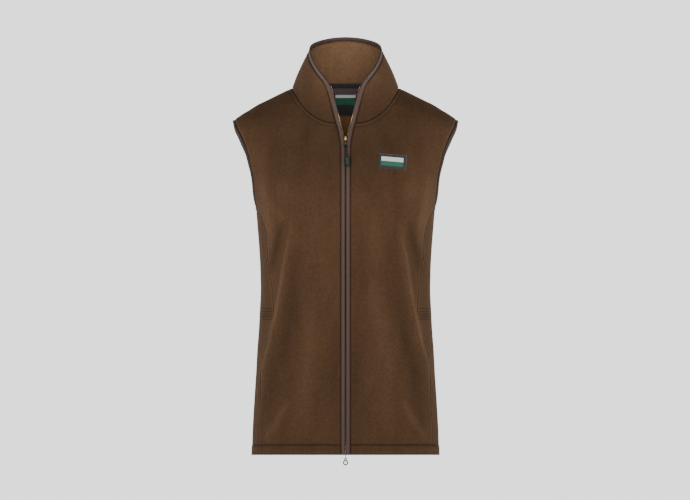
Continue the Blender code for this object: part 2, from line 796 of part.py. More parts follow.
low_frame = centre_frame(-692)
slider_bottom = joined("slider_bottom", [
    block("slider_bottom_front", low_frame, 4.2, (-9.6, 8.0), (-3.9, -2.9), 1.6),
    block("slider_bottom_back", low_frame, 4.2, (-9.6, 8.0), (-6.9, -5.9), 1.6),
    block("slider_bottom_post", low_frame, 0.5, (-8.6, -6.0), (-6.4, -3.4)),
    block("slider_bottom_nose", low_frame, 0.85, (-12.6, -1.0), (-3.4, 0.4), 0.3),
    loop_plate("slider_bottom_eye", low_frame, 0.6, oval(-15.2, -1.5, 3.3, 2.8, 14),
               oval(-15.2, -1.5, 2.2, 1.65, 14)),
])


def tube(name, path, radius, mat, sides=8, closed=False, first_side=(0, 0, 1)):
    """A round cord along a path."""
    path = np.asarray(path, float)
    count = len(path)
    rings = []
    side = np.asarray(first_side, float)
    for k in range(count):
        if closed:
            along = path[(k + 1) % count] - path[k - 1]
        else:
            along = path[min(k + 1, count - 1)] - path[max(k - 1, 0)]
        along = along / np.linalg.norm(along)
        side = side - np.dot(side, along) * along
        side = side / np.linalg.norm(side)
        other = np.cross(along, side)
        ring = []
        for m in range(sides):
            t = 2 * math.pi * m / sides
            ring.append(path[k] + radius * (math.cos(t) * side + math.sin(t) * other))
        rings.append(ring)
    return face_out(sweep(name, rings, mat, closed=closed))


# Top puller: a looped cord through the slider's eye and a flat grip. It swings on the eye.
hinge = place(top_frame, 0.0, *loop_hole)
grip_end = place(centre_frame(-157), 0.0, 0.0, 4.6)
down = grip_end - hinge
down /= np.linalg.norm(down)
pull_out = np.cross(np.array([1.0, 0, 0]), down)
if pull_out[1] > 0:
    pull_out = -pull_out
lean = 0.1


def on_pull(x, d, b=0.0):
    return hinge + np.array([x + lean * max(0.0, d), 0, 0]) + d * down + b * pull_out


cord_turns = [
    (1.45, 23.4), (1.5, 20.0), (1.7, 16.0), (2.1, 11.5), (2.7, 7.0), (3.0, 3.8),
    (2.75, 1.7), (1.9, 0.5), (0.8, 0.05),
]
cord_path = [on_pull(x, d) for x, d in cord_turns]
cord_path += [on_pull(-x, d) for x, d in cord_turns[::-1]]
tube("pull_top_cord", cord_path, 1.15, cord_cloth, first_side=pull_out)

grip_steps = [
    (24.0, 2.9, 1.5), (24.8, 3.4, 1.75), (26.0, 3.3, 1.6), (26.8, 4.2, 1.8), (28.4, 4.9, 2.0),
    (41.4, 5.0, 2.0), (44.4, 4.7, 1.95), (46.0, 3.8, 1.7), (46.6, 2.8, 1.3),
]
grip_rings = []
for d, half_wide, half_thick in grip_steps:
    ring = oval(0.0, 0.0, half_wide, half_thick, 12, 3.2)
    grip_rings.append([on_pull(a, d, b) for a, b in ring])
face_out(sweep("pull_top_grip", grip_rings, rubber))

# Lower puller: a plain ring that hangs in the lower eye.
ring_top = place(low_frame, 0.0, -16.4, -1.5)
ring_middle = ring_top - np.array([0, 0, ring_radius])
ring_path = []
for k in range(24):
    t = 2 * math.pi * k / 24
    ring_path.append(ring_middle + ring_radius * np.array([math.sin(t), 0, math.cos(t)]))
tube("pull_bottom", ring_path, 0.6, brass, closed=True, first_side=(0, 1, 0))


# Labels and tapes: thin pieces made from the points of the cloth that they lie on.
def tree_of(net, cells):
    points = [tuple(p) for p in net.reshape(-1, 3)]
    cols = net.shape[1]
    polys = []
    for i, j in cells:
        polys.append((i * cols + j, i * cols + j + 1, (i + 1) * cols + j + 1, (i + 1) * cols + j))
    return BVHTree.FromPolygons(points, polys)


def seen_point(tree, x, z, start_y, way):
    place_hit = tree.ray_cast(Vector((x, start_y, z)), Vector((0, way, 0)))[0]
    return np.array(place_hit)


def laid_piece(name, tree, grid, start_y, way, out, thick, mat):
    """A thin piece over a grid of (x, z) places, lifted off the cloth by out."""
    rows = len(grid)
    cols = len(grid[0])
    low = np.zeros((rows, cols, 3))
    for i in range(rows):
        for j in range(cols):
            low[i, j] = seen_point(tree, *grid[i][j], start_y, way)
    normal = net_normals(low)
    if normal[rows // 2, cols // 2][1] * way > 0:
        normal = -normal
    face = low + (out + thick) * normal
    back_face = low + out * normal
    face_out(sheet(name, face, back_face, all_cells(rows, cols), mat))


front_tree = tree_of(front_edge, front_cells)
tilt = math.radians(label_tilt)
grid = []
for c in np.linspace(-label_high / 2, label_high / 2, 5):
    row = []
    for a in np.linspace(-label_wide / 2, label_wide / 2, 9):
        x = label_x + a * math.cos(tilt) + c * math.sin(tilt)
        z = label_z - a * math.sin(tilt) + c * math.cos(tilt)
        row.append((x, z))
    grid.append(row)
laid_piece("chest_label", front_tree, grid, -400, 1, 0.65, 0.8, label_cloth)

back_tree = tree_of(back_edge - wall * full_normal, back_cells)


def below_neck(x, drop):
    return float(np.interp(abs(x), back_neck[:, 0], back_neck[:, 1])) - drop


def neck_grid(half_wide, count, drops):
    return [[(x, below_neck(x, d)) for x in np.linspace(-half_wide, half_wide, count)]
            for d in drops]


laid_piece("neck_tape", back_tree, neck_grid(66, 15, (8.4, 5.2, 2.0)), 0, 1, 0.9, 0.7,
           black_cloth)
laid_piece("neck_facing", back_tree, neck_grid(66, 15, (20.0, 14.6, 9.2)), 0, 1, 0.9, 0.7,
           plum_cloth)
grid = []
for z in np.linspace(neck_label_low, neck_label_top, 7):
    grid.append([(x, z) for x in np.linspace(-neck_label_wide / 2, neck_label_wide / 2, 7)])
laid_piece("neck_label", back_tree, grid, 0, 1, 2.2, 0.8, label_cloth)
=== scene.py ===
import json
import math

import bmesh
import bpy
import numpy as np
from mathutils import Matrix, Vector
from mathutils.bvhtree import BVHTree


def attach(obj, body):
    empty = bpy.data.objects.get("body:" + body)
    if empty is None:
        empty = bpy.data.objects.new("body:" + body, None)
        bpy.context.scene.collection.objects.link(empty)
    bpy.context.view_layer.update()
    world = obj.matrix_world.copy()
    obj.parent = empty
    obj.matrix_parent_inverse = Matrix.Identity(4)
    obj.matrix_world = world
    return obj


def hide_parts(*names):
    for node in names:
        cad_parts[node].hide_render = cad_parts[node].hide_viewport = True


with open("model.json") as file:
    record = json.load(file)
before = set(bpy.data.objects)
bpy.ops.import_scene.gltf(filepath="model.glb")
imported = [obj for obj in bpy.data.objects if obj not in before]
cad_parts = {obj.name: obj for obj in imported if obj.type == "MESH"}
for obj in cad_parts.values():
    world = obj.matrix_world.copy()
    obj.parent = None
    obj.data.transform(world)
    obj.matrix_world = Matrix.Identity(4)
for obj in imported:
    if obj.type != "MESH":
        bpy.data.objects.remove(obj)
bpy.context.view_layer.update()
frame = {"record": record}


def linked(name, data):
    obj = bpy.data.objects.new(name, data)
    bpy.context.scene.collection.objects.link(obj)
    return obj


def meshFrom(work, name):
    mesh = bpy.data.meshes.new(name)
    work.to_mesh(mesh)
    work.free()
    return mesh


# camera: level, straight on, at the height of the middle of the gilet
cameraSettings = {"lens": 135.0, "sensor": 36.0, "place": (-0.001, -5.046, -0.312)}
cameraData = bpy.data.cameras.new("photoCamera")
cameraData.lens = cameraSettings["lens"]
cameraData.sensor_width = cameraSettings["sensor"]
camera = linked("photoCamera", cameraData)
camera.location = cameraSettings["place"]
camera.rotation_euler = (math.radians(90), 0, 0)
bpy.context.scene.camera = camera

# sizes of the body in millimetres: height, half width, depth of the front, depth of the back
bodySettings = {
    "power": 2.4, "hem": -712.0, "frontRise": 10.0, "hemLine": 20.0, "hemSwell": 1.0,
    "armpit": -231.0, "shoulderTip": -57.0, "neckPoint": 4.0, "wall": 2.3,
    "rings": [
        (-712, 182.5, 124, 121), (-663, 181.0, 122.5, 120), (-624, 179.0, 121.5, 119.5),
        (-585, 176.5, 120.5, 118), (-546, 174.0, 119, 115), (-507, 172.0, 118, 112),
        (-468, 169.0, 118, 109), (-429, 167.0, 118, 107), (-390, 165.3, 120.5, 109),
        (-351, 166.0, 124, 112), (-312, 168.0, 127, 117), (-273, 171.0, 129, 121),
        (-234, 174.5, 128.5, 123.5), (-205, 183.0, 126.5, 124), (-180, 191.0, 122, 122.5),
        (-150, 204.0, 113, 119), (-120, 218.0, 101, 113.5), (-100, 224.0, 93, 109),
        (-80, 226.0, 85, 102.5), (-60, 217.5, 76.5, 95), (-49, 203.6, 71.5, 91),
        (-39, 187.2, 67.5, 86.5), (-29, 171.2, 63.5, 81.5), (-19.5, 151.6, 59.5, 76.5),
        (-10, 132.6, 55.0, 71.5), (0, 112.2, 50.0, 65.5), (4, 104.2, 47.5, 63),
        (13, 98.0, 42.0, 58), (24, 93.0, 38.0, 52),
    ],
}

# edges of the cut pieces, in millimetres
edgeSettings = {
    "zip": [(-712, 9.3), (-118, 9.3), (-110, 9.7), (-102, 10.8), (-95, 12.0), (-87, 13.6),
            (-76, 16.2), (-68.5, 18.6), (-60, 21.0)],
    "frontNeck": [(18.6, -68.5), (34.0, -66.3), (50.5, -60.3), (67.0, -49.5), (83.0, -33.5),
                  (94.5, -16.0), (101.5, -3.0)],
    "backNeck": [(0.0, 13.0), (24.0, 12.9), (48.0, 12.6), (70.0, 11.8), (87.0, 10.2),
                 (98.0, 7.6)],
    "frontArm": [(-29, -231), (-38.5, -217), (-49.0, -199), (-57.5, -179), (-61.5, -157),
                 (-61.5, -136), (-58.0, -115), (-51.5, -97), (-42.0, -80), (-31.0, -68),
                 (-17.0, -60)],
    "backArm": [(31, -231), (43.0, -216), (54.0, -198), (61.0, -178), (64.5, -157),
                (65.0, -136), (62.0, -115), (56.0, -97), (46.0, -80), (33.5, -68), (17.5, -60)],
    "armLow": (1.0, -237.5),
    "side": [(-712, 66.0, 66.0), (-694, 66.0, 66.0), (-655, 66.4, 66.4), (-610, 66.0, 66.0),
             (-565, 66.4, 66.4), (-521, 65.8, 65.8), (-490, 60.5, 82.0), (-460, 54.5, 96.0),
             (-432, 52.5, 102.0), (-404, 54.5, 98.0), (-372, 57.0, 80.0), (-342, 60.0, 67.0),
             (-326, 61.0, 61.0), (-306, 60.3, 60.3), (-282, 60.0, 60.0), (-262, 63.6, 63.6),
             (-246, 69.0, 69.0)],
    "frontRows": [-231, -213, -195, -178, -161, -145, -130, -118, -106, -95, -82, -68.5],
    "backRows": [-231, -206, -181, -156, -131, -107, -84, -62, -41, -22, -4, 13],
    "collarFront": [(18.9, -78.6, -67.5), (22.8, -78.4, -54.0), (26.8, -77.8, -40.0),
                    (30.4, -77.0, -26.0), (33.9, -76.0, -12.0), (37.4, -74.6, -0.5),
                    (42.0, -71.8, 9.0)],
    "collarTop": [(42.0, -71.8, 9.0), (48.4, -65.8, 17.0), (55.0, -56.8, 26.2),
                  (61.8, -45.6, 37.2), (68.2, -32.4, 49.6), (72.4, -17.8, 61.2),
                  (73.6, -2.0, 71.2), (71.2, 13.0, 79.4), (64.6, 27.0, 85.8),
                  (54.0, 39.5, 90.8), (38.6, 49.8, 95.4), (20.5, 56.2, 98.8),
                  (0.0, 58.2, 100.2)],
    "collarBulge": 1.5,
}

# soft folds: side of the body, places across and up, how far out, how broad, on which sides
foldSettings = [
    ("front", [(103, -250), (109, -292), (116, -325), (120, -350), (129.5, -407), (134.5, -434),
               (141.5, -461), (147.5, -491), (151.5, -508), (157, -524), (163, -551),
               (167.5, -583), (170, -620)], 2.5, 2.7, (1, -1)),
    ("front", [(100, -250), (106, -292), (116, -350), (126, -407), (138, -461), (149, -508),
               (160, -551), (166, -600)], 0.8, 9, (1, -1)),
    ("front", [(90, -296), (97, -345), (99, -400), (104, -440), (119, -496), (134, -552),
               (147, -600), (153, -650)], -1.15, 14, (1, -1)),
    ("front", [(58, -320), (58, -399), (65, -447), (73, -493), (77, -541), (77, -589),
               (81, -630), (85, -672)], 1.05, 19, (1, -1)),
    ("front", [(52, -230), (56, -290), (60, -340)], 0.8, 20, (1, -1)),
    ("front", [(108, -596), (120, -620), (134, -645), (157, -682)], 1.7, 7, (1, -1)),
    ("front", [(17, -420), (18, -520), (17, -620), (17, -700)], -0.8, 13, (1, -1)),
    ("front", [(163, -165), (160, -190), (157, -212), (153, -236), (148, -264), (145, -291),
               (148, -335)], 2.3, 11, (1, -1)),
    ("front", [(122, -258), (129, -290), (136, -322), (141, -360)], -1.8, 8, (1, -1)),
    ("front", [(118, -172), (126, -196), (122, -226)], 0.9, 14, (1, -1)),
    ("front", [(66, -76), (84, -104), (96, -128)], -0.6, 14, (1, -1)),
    ("front", [(140, -215), (130, -236), (118, -258)], 0.8, 8, (-1,)),
    ("front", [(30, -240), (34, -330), (30, -400)], -0.6, 12, (1,)),
    ("back", [(120, -270), (128, -330), (136, -400), (145, -480), (154, -560)], 2.0, 14, (1, -1)),
    ("back", [(60, -360), (78, -430), (104, -500), (128, -560)], 1.6, 16, (1, -1)),
    ("back", [(0, -60), (3, -130), (0, -200)], -1.0, 20, (1, -1)),
    ("back", [(30, -250), (36, -330), (30, -410), (40, -490)], 1.5, 17, (1,)),
    ("back", [(22, -280), (26, -360), (40, -440), (44, -520)], 1.5, 17, (-1,)),
    ("back", [(150, -150), (132, -190), (110, -225)], 1.4, 12, (1, -1)),
    ("back", [(90, -560), (98, -610), (100, -660)], 1.3, 15, (1, -1)),
]


# reads every column of a table smoothly at z, without running past its values
def smoothTable(table, z):
    xs = table[:, 0]
    z = np.clip(np.asarray(z, float), xs[0], xs[-1])
    i = np.clip(np.searchsorted(xs, z) - 1, 0, len(xs) - 2)
    steps = np.diff(table[:, 1:], axis=0) / np.diff(xs)[:, None]
    both = steps[:-1] * steps[1:] > 0
    mid = np.where(both, 2 * steps[:-1] * steps[1:] / np.where(both, steps[:-1] + steps[1:], 1), 0)
    slopes = np.concatenate([steps[:1], mid, steps[-1:]])
    h = (xs[i + 1] - xs[i])[..., None]
    t = ((z - xs[i])[..., None]) / h
    a, b = table[i, 1:], table[i + 1, 1:]
    return ((2 * t ** 3 - 3 * t ** 2 + 1) * a + (t ** 3 - 2 * t ** 2 + t) * h * slopes[i]
            + (-2 * t ** 3 + 3 * t ** 2) * b + (t ** 3 - t ** 2) * h * slopes[i + 1])


def ease(t):
    t = np.clip(t, 0.0, 1.0)
    return t * t * (3 - 2 * t)


# length along a line of points, and a field along such a line read at given lengths
def runLength(points):
    return np.concatenate([[0], np.cumsum(np.linalg.norm(np.diff(points, axis=0), axis=1))])


def readAt(at, length, field):
    return np.stack([np.interp(at, length, field[:, k]) for k in range(field.shape[1])], axis=-1)


# the line through the points again: at even steps, or at given shares of its length
def smoothLine(points, shares, byIndex=False):
    points = np.asarray(points, float)
    along = np.arange(len(points)) if byIndex else runLength(points)
    table = np.column_stack([along, points])
    if isinstance(shares, int):
        shares = np.linspace(0, 1, shares)
    if byIndex:
        return smoothTable(table, np.asarray(shares) * along[-1])
    fine = smoothTable(table, np.linspace(0, along[-1], 600))
    length = runLength(fine)
    return readAt(np.asarray(shares) * length[-1], length, fine)


ringTable = np.array(bodySettings["rings"], float)
ringPower = bodySettings["power"]
hemZ = bodySettings["hem"]


# how far the folds push the cloth out at places seen from the front or back
def foldLift(side, x, z):
    lift = np.zeros_like(x)
    for face, line, size, breadth, sides in foldSettings:
        if face != side:
            continue
        line = np.array(line, float)
        for sign in sides:
            best = np.full_like(x, 1e9)
            at = np.zeros_like(x)
            for k in range(len(line) - 1):
                a = line[k] * (sign, 1)
                d = line[k + 1] * (sign, 1) - a
                t = np.clip(((x - a[0]) * d[0] + (z - a[1]) * d[1]) / (d @ d), 0, 1)
                far = np.hypot(x - a[0] - t * d[0], z - a[1] - t * d[1])
                nearer = far < best
                best = np.where(nearer, far, best)
                at = np.where(nearer, (k + t) / (len(line) - 1), at)
            fade = np.sin(math.pi * np.clip(at, 0, 1)) ** 0.6
            lift = lift + size * fade * np.exp(-((best / breadth) ** 2))
    return lift


# outer surface of the body at angles from the middle of the front; side is 1 or -1
def bodyPoint(angle, z, side=1):
    w, f, b = np.moveaxis(smoothTable(ringTable, z), -1, 0)
    s, c = np.sin(np.radians(angle)), np.cos(np.radians(angle))
    p = 2 / ringPower
    x = w * np.sign(s) * np.abs(s) ** p
    deep = np.where(c >= 0, f, b)
    y = -deep * np.sign(c) * np.abs(c) ** p
    nx = np.sign(x) * (np.abs(x) / w) ** (ringPower - 1) / w
    ny = np.sign(y) * (np.abs(y) / deep) ** (ringPower - 1) / deep
    far = np.hypot(nx, ny)
    lift = np.where(c >= 0, foldLift("front", x * side, z), foldLift("back", x * side, z))
    lift = lift + bodySettings["hemSwell"] * (1 - ease((z - hemZ - bodySettings["hemLine"]) / 3.0))
    return np.stack([(x + lift * nx / far) * side, y + lift * ny / far, z + 0 * x], axis=-1)


def angleOfX(x, z):
    w = smoothTable(ringTable, z)[..., 0]
    return np.degrees(np.arcsin(np.minimum(1, np.abs(x) / w) ** (ringPower / 2)))


def angleOfY(y, z):
    w, f, b = np.moveaxis(smoothTable(ringTable, z), -1, 0)
    deep = np.where(np.asarray(y) < 0, f, b)
    turn = np.degrees(np.arccos(np.minimum(1, np.abs(y) / deep) ** (ringPower / 2)))
    return np.where(np.asarray(y) < 0, turn, 180 - turn)


# net between four edges; u and v are the shares of the columns and rows
def patch(low, high, left, right, u, v):
    u, v = u[None, :, None], v[:, None, None]
    low, high = np.asarray(low)[None], np.asarray(high)[None]
    left, right = np.asarray(left)[:, None], np.asarray(right)[:, None]
    corners = ((1 - u) * (1 - v) * low[:, :1] + u * (1 - v) * low[:, -1:]
               + (1 - u) * v * high[:, :1] + u * v * high[:, -1:])
    return (1 - u) * left + u * right + (1 - v) * low + v * high - corners


def netNormals(net):
    across = np.gradient(net, axis=1)
    up = np.gradient(net, axis=0)
    normal = np.cross(across, up)
    return normal / np.maximum(np.linalg.norm(normal, axis=2, keepdims=True), 1e-9)


# shares from 0 to 1 that stand close together near the ends, for rolled edges
def closeEnds(length, step, start=True, end=True):
    near = np.array([0, 0.9, 1.8, 2.8, 3.9, 5.2, 7.0, 9.5])
    low = near if start else near[:1]
    high = near if end else near[:1]
    count = max(2, int(round((length - low[-1] - high[-1]) / step)))
    middle = np.linspace(low[-1], length - high[-1], count + 1)[1:-1]
    return np.concatenate([low, middle, (length - high)[::-1]]) / length


# height with the rise of the front hem, which fades out above it
def risen(angle, z):
    rise = bodySettings["frontRise"] * np.maximum(0, np.cos(np.radians(angle))) ** 0.8
    return z + rise * (1 - ease((z - hemZ - 18) / 39.0))


def mirrored(points):
    return np.asarray(points, float) * (-1.0, 1.0, 1.0)


zipTable = np.array(edgeSettings["zip"], float)
sideTable = np.array(edgeSettings["side"] + [(bodySettings["armpit"],) * 3], float)
armpit = bodySettings["armpit"]
sideTable[-1, 1:] = angleOfY(-29.0, armpit)
neckPoint = bodySettings["neckPoint"]
shoulderTip = bodySettings["shoulderTip"]
lowRows = np.concatenate([
    hemZ + np.array([0, 0.8, 1.7, 2.8, 4.2, 6.5, 10, 13.5, 16.5, 18, 18.8, 19.5, 20.2, 21, 22,
                     23.5, 26, 29]),
    np.linspace(hemZ + 32.5, armpit, 142),
])


def zipAngle(z):
    return angleOfX(np.interp(z, zipTable[:, 0], zipTable[:, 1]), z)


# net of a front in angles and heights, from the hem to the neck and shoulder
def frontAngles():
    u = closeEnds(190, 3.2)
    u[np.argmin(np.abs(u - 0.5))] = 0.5
    low = np.zeros((len(lowRows), len(u), 2))
    for i, z in enumerate(lowRows):
        start, end = zipAngle(z), smoothTable(sideTable, z)[0]
        low[i, :, 0] = start + (end - start) * u
        low[i, :, 1] = risen(low[i, :, 0], z)
    s = closeEnds(162, 3.0, start=False)
    left = smoothLine([(z, z) for z in edgeSettings["frontRows"]], s, byIndex=True)
    left[:, 0] = zipAngle(left[:, 1])
    arm = smoothLine(edgeSettings["frontArm"] + [(0.0, shoulderTip)], s, byIndex=True)
    right = np.column_stack([angleOfY(np.minimum(arm[:, 0], -1e-6), arm[:, 1]), arm[:, 1]])
    neck = [bodyPoint(angleOfX(x, z), z) for x, z in edgeSettings["frontNeck"]]
    neck = smoothLine(neck + [bodyPoint(90.0, neckPoint)], np.minimum(1, 2 * u[u <= 0.5]))
    neckPart = np.column_stack([angleOfX(neck[:, 0], neck[:, 2]), neck[:, 2]])
    tip = neckPoint + (shoulderTip - neckPoint) * (2 * u[u > 0.5] - 1)
    high = np.concatenate([neckPart, np.column_stack([np.full_like(tip, 90.0), tip])])
    v = (left[:, 1] - armpit) / (left[-1, 1] - armpit)
    return np.concatenate([low, patch(low[-1], high, left, right, u, v)[1:]]), u


neckShare = 4 / 9  # of the back's half breadth that lies under the collar


# half net of the back from the middle to the side, with the part under the arm
def backAngles():
    under = 2 / 11
    main = closeEnds(155, 3.4, start=False, end=False)
    main[np.argmin(np.abs(main - neckShare))] = neckShare
    main = main * (1 - under)
    u = np.concatenate([main, 1 - under * (1 - closeEnds(58, 3.0, start=False))[1:]])
    count = len(main)
    v = (lowRows - hemZ) / (armpit - hemZ)
    end = smoothTable(sideTable, lowRows)[:, 1]
    armEnd = float(angleOfY(31.0, armpit))
    uMain = main / main[-1]
    high = np.zeros((len(u), 2))
    high[:count, 0] = 180 + (armEnd - 180) * uMain
    high[:count, 1] = armpit
    under = [(31.0, armpit), (18.0, -235.6), edgeSettings["armLow"], (-16.0, -235.4),
             (-29.0, armpit)]
    arm = smoothLine(under, (u[count:] - u[count - 1]) / (1 - u[count - 1]))
    high[count:, 0] = angleOfY(arm[:, 0], arm[:, 1])
    high[count:, 1] = arm[:, 1]
    angle = (180 + (end[:, None] - 180) * u[None]
             + v[:, None] * (high[None, :, 0] - (180 + (sideTable[-1, 1] - 180) * u[None])))
    height = risen(angle, lowRows[:, None] + 0 * angle)
    height = height + v[:, None] ** 3 * (high[None, :, 1] - armpit)
    low = np.stack([angle, height], axis=-1)
    s = closeEnds(244, 3.0, start=False)
    left = smoothLine([(180.0, z) for z in edgeSettings["backRows"]], s, byIndex=True)
    arm = smoothLine(edgeSettings["backArm"] + [(0.0, shoulderTip)], s, byIndex=True)
    right = np.column_stack([angleOfY(np.maximum(arm[:, 0], 0), arm[:, 1]), arm[:, 1]])
    neck = [bodyPoint(180 - angleOfX(x, z), z) for x, z in edgeSettings["backNeck"]]
    split = neckShare + 1e-9
    neck = smoothLine(neck + [bodyPoint(90.0, neckPoint)],
                      np.minimum(1, uMain[uMain <= split] / split))
    neckPart = np.column_stack([180 - angleOfX(neck[:, 0], neck[:, 2]), neck[:, 2]])
    tip = neckPoint + (shoulderTip - neckPoint) * (uMain[uMain > split] - split) / (1 - split)
    top = np.concatenate([neckPart, np.column_stack([np.full_like(tip, 90.0), tip])])
    vUp = (left[:, 1] - armpit) / (left[-1, 1] - armpit)
    up = patch(high[:count], top, left, right, uMain, vUp)
    whole = np.zeros((len(low) + len(up) - 1, len(u), 2))
    whole[:len(low)] = low
    whole[len(low):, :count] = up[1:]
    whole[len(low):, count:] = up[1:, -1:]
    return whole, count, len(low), u


# nearest distance of every net point to a line of points
def farFrom(net, line):
    flat = net.reshape(-1, 3)
    line = np.asarray(line, float)
    best = np.full(len(flat), 1e9)
    for start in range(0, len(line), 60):
        part = line[start:start + 60]
        far = np.linalg.norm(flat[:, None] - part[None], axis=2).min(axis=1)
        best = np.minimum(best, far)
    return best.reshape(net.shape[:2])


# how far a net is from a line that is made fine first
def nearLine(net, line):
    return farFrom(net, smoothLine(line, max(60, int(len(line) * 3))))


# how deep the edges roll down into their seams, and over what reach
rollSettings = {"seam": (1.1, 4.0), "zip": (1.5, 3.0), "neck": (1.5, 4.0), "hem": (1.1, 2.6),
                "arm": (1.3, 3.0), "collarNeck": (1.3, 3.6), "collar": (1.3, 3.0)}


# lift of a net by its edges, each a line and its kind
def rolled(net, *edges):
    lift = 0.0
    for line, kind in edges:
        depth, reach = rollSettings[kind]
        lift = lift - depth * np.clip(1 - nearLine(net, line) / reach, 0, 1) ** 2
    return lift


def grooveAt(net, line, offset, depth, width):
    return -depth * np.exp(-(((nearLine(net, line) - offset) / width) ** 2))


# cloth from a net of points in millimetres, made on a grid; unused cells are taken out, the lift
# sets how deep the cloth sinks into a seam, kept as a mask for painted shade there, and the fold
# heights, with a band beside each seam, as a mask for painted highlight and shade
def clothMesh(name, net, keep=None, lift=None, raised=None):
    rows, cols = net.shape[:2]
    work = bmesh.new()
    bmesh.ops.create_grid(work, x_segments=cols - 1, y_segments=rows - 1, size=1)
    work.verts.ensure_lookup_table()
    across, upward = runLength(net[rows // 2]), runLength(net[:, cols // 2])
    flat = net.reshape(-1, 3) * 0.001
    uvLayer = work.loops.layers.uv.new("cloth")
    for face in work.faces:
        face.smooth = True
        for loop in face.loops:
            k = loop.vert.index
            loop[uvLayer].uv = (across[k % cols] * 0.001, upward[k // cols] * 0.001)
    # two painted-light masks: shade in seams and folds, and highlight and shade by fold height
    recessShadeAndPanel = work.verts.layers.float.new("recessShadeAndPanel")
    foldHighlightShade = work.verts.layers.float.new("foldHighlightShade")
    depth = np.zeros(len(flat)) if lift is None else np.clip(-lift.reshape(-1) / 1.6, 0, 1)
    height = np.zeros(len(flat)) if raised is None else raised.reshape(-1)
    for k, vert in enumerate(work.verts):
        vert.co = flat[k]
        vert[recessShadeAndPanel] = float(depth[k])
        vert[foldHighlightShade] = float(height[k])
    if keep is not None:
        gone = []
        for face in work.faces:
            i = min(loop.vert.index // cols for loop in face.loops)
            j = min(loop.vert.index % cols for loop in face.loops)
            if not keep(i, j):
                gone.append(face)
        bmesh.ops.delete(work, geom=gone, context="FACES")
        loose = [vert for vert in work.verts if not vert.link_faces]
        bmesh.ops.delete(work, geom=loose, context="VERTS")
    return linked(name, meshFrom(work, name))


# how many cells each net point is from the outer edge, over reach
def closeRim(shape, reach):
    i, j = np.indices(shape)
    cells = np.minimum(np.minimum(i, shape[0] - 1 - i), np.minimum(j, shape[1] - 1 - j))
    return cells / reach


# the ring of net points that lies some cells in from the edge
def ringOf(net, inset):
    part = net[inset:net.shape[0] - inset, inset:net.shape[1] - inset]
    return np.concatenate([part[0, :-1], part[:-1, -1], part[-1, :0:-1], part[::-1, 0]])


def giveWall(obj, thick, inside=0):
    wall = obj.modifiers.new("wall", "SOLIDIFY")
    wall.thickness = thick * 0.001
    wall.offset = -1
    wall.use_rim = True
    wall.use_quality_normals = True
    wall.material_offset = inside


def finishPiece(obj, material, slotName, bodyName, *replaced, inner=None):
    obj.data.materials.append(material)
    if replaced:
        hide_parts(*replaced)
    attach(obj, bodyName)
    # a walled piece's inner faces get the fleece painted lighter, as lit, unless another is given
    wall = obj.modifiers.get("wall")
    if wall and wall.material_offset:
        obj.data.materials.append(inner or fleeceInsideLit)


# node helpers for the materials
lookSockets = {"metal": "Metallic", "specular": "Specular IOR Level", "sheen": "Sheen Weight",
               "sheenRough": "Sheen Roughness", "sheenTint": "Sheen Tint"}


def newMaterial(name, rough, colour, **looks):
    material = bpy.data.materials.new(name)
    material.use_nodes = True
    shader = material.node_tree.nodes["Principled BSDF"]
    shader.inputs["Base Color"].default_value = (*colour, 1)
    shader.inputs["Roughness"].default_value = rough
    for look, value in looks.items():
        shader.inputs[lookSockets[look]].default_value = value
    return material, material.node_tree, shader


def addNode(tree, kind, links=None, **values):
    node = tree.nodes.new(kind)
    for key, value in values.items():
        if hasattr(node, key):
            setattr(node, key, value)
        else:
            node.inputs[key.replace("_", " ")].default_value = value
    for key, source in (links or {}).items():
        tree.links.new(source, node.inputs[key])
    return node


def objectCoords(tree):
    return addNode(tree, "ShaderNodeTexCoord").outputs["Object"]


def clothMap(tree):
    return addNode(tree, "ShaderNodeUVMap", uv_map="cloth").outputs[0]


def attribute(tree, name):
    return addNode(tree, "ShaderNodeAttribute", attribute_name=name).outputs["Fac"]


def noise(tree, coords, scale, detail, **values):
    return addNode(tree, "ShaderNodeTexNoise", {"Vector": coords}, Scale=scale, Detail=detail,
                   **values).outputs[0]


def bands(tree, coords, way, scale, **values):
    return addNode(tree, "ShaderNodeTexWave", {"Vector": coords}, wave_type="BANDS",
                   bands_direction=way, Scale=scale, **values).outputs["Fac"]


def sums(tree, operation, *terms):
    node = addNode(tree, "ShaderNodeMath", operation=operation)
    for slot, term in enumerate(terms):
        if isinstance(term, float):
            node.inputs[slot].default_value = term
        else:
            tree.links.new(term, node.inputs[slot])
    return node.outputs[0]


def ramp(tree, source, low, high, start=0.0, end=1.0):
    node = addNode(tree, "ShaderNodeMapRange", {"Value": source})
    for key, value in (("From Min", low), ("From Max", high), ("To Min", start), ("To Max", end)):
        node.inputs[key].default_value = value
    return node.outputs[0]


def mixColours(tree, factor, one, two, blend="MIX"):
    mix = addNode(tree, "ShaderNodeMix", data_type="RGBA", blend_type=blend)
    for slot, part in ((0, factor), (6, one), (7, two)):
        if isinstance(part, tuple):
            mix.inputs[slot].default_value = (*part, 1)
        elif isinstance(part, float):
            mix.inputs[slot].default_value = part
        else:
            tree.links.new(part, mix.inputs[slot])
    return mix.outputs[2]


# painted light and shade: colour made darker or lighter as a source goes from one value to another
def shadedBy(tree, colour, source, span, tones):
    low, high = ((tone,) * 3 if isinstance(tone, float) else tone for tone in tones)
    return mixColours(tree, 1.0, colour, mixColours(tree, ramp(tree, source, *span), low, high),
                      "MULTIPLY")


# colour and bumps, each a source, strength and distance, go to the shader
def dressShader(tree, shader, colour, *bumps):
    tree.links.new(colour, shader.inputs["Base Color"])
    last = None
    for source, strength, distance in bumps:
        bump = addNode(tree, "ShaderNodeBump", {"Height": source}, Strength=strength,
                       Distance=distance)
        if last is not None:
            tree.links.new(last, bump.inputs["Normal"])
        last = bump.outputs[0]
    tree.links.new(last, shader.inputs["Normal"])


# how far a surface faces up, for the painted shade on upward faces
def facingUp(tree):
    facing = addNode(tree, "ShaderNodeNewGeometry").outputs["Normal"]
    return addNode(tree, "ShaderNodeSeparateXYZ", {0: facing}).outputs[2]
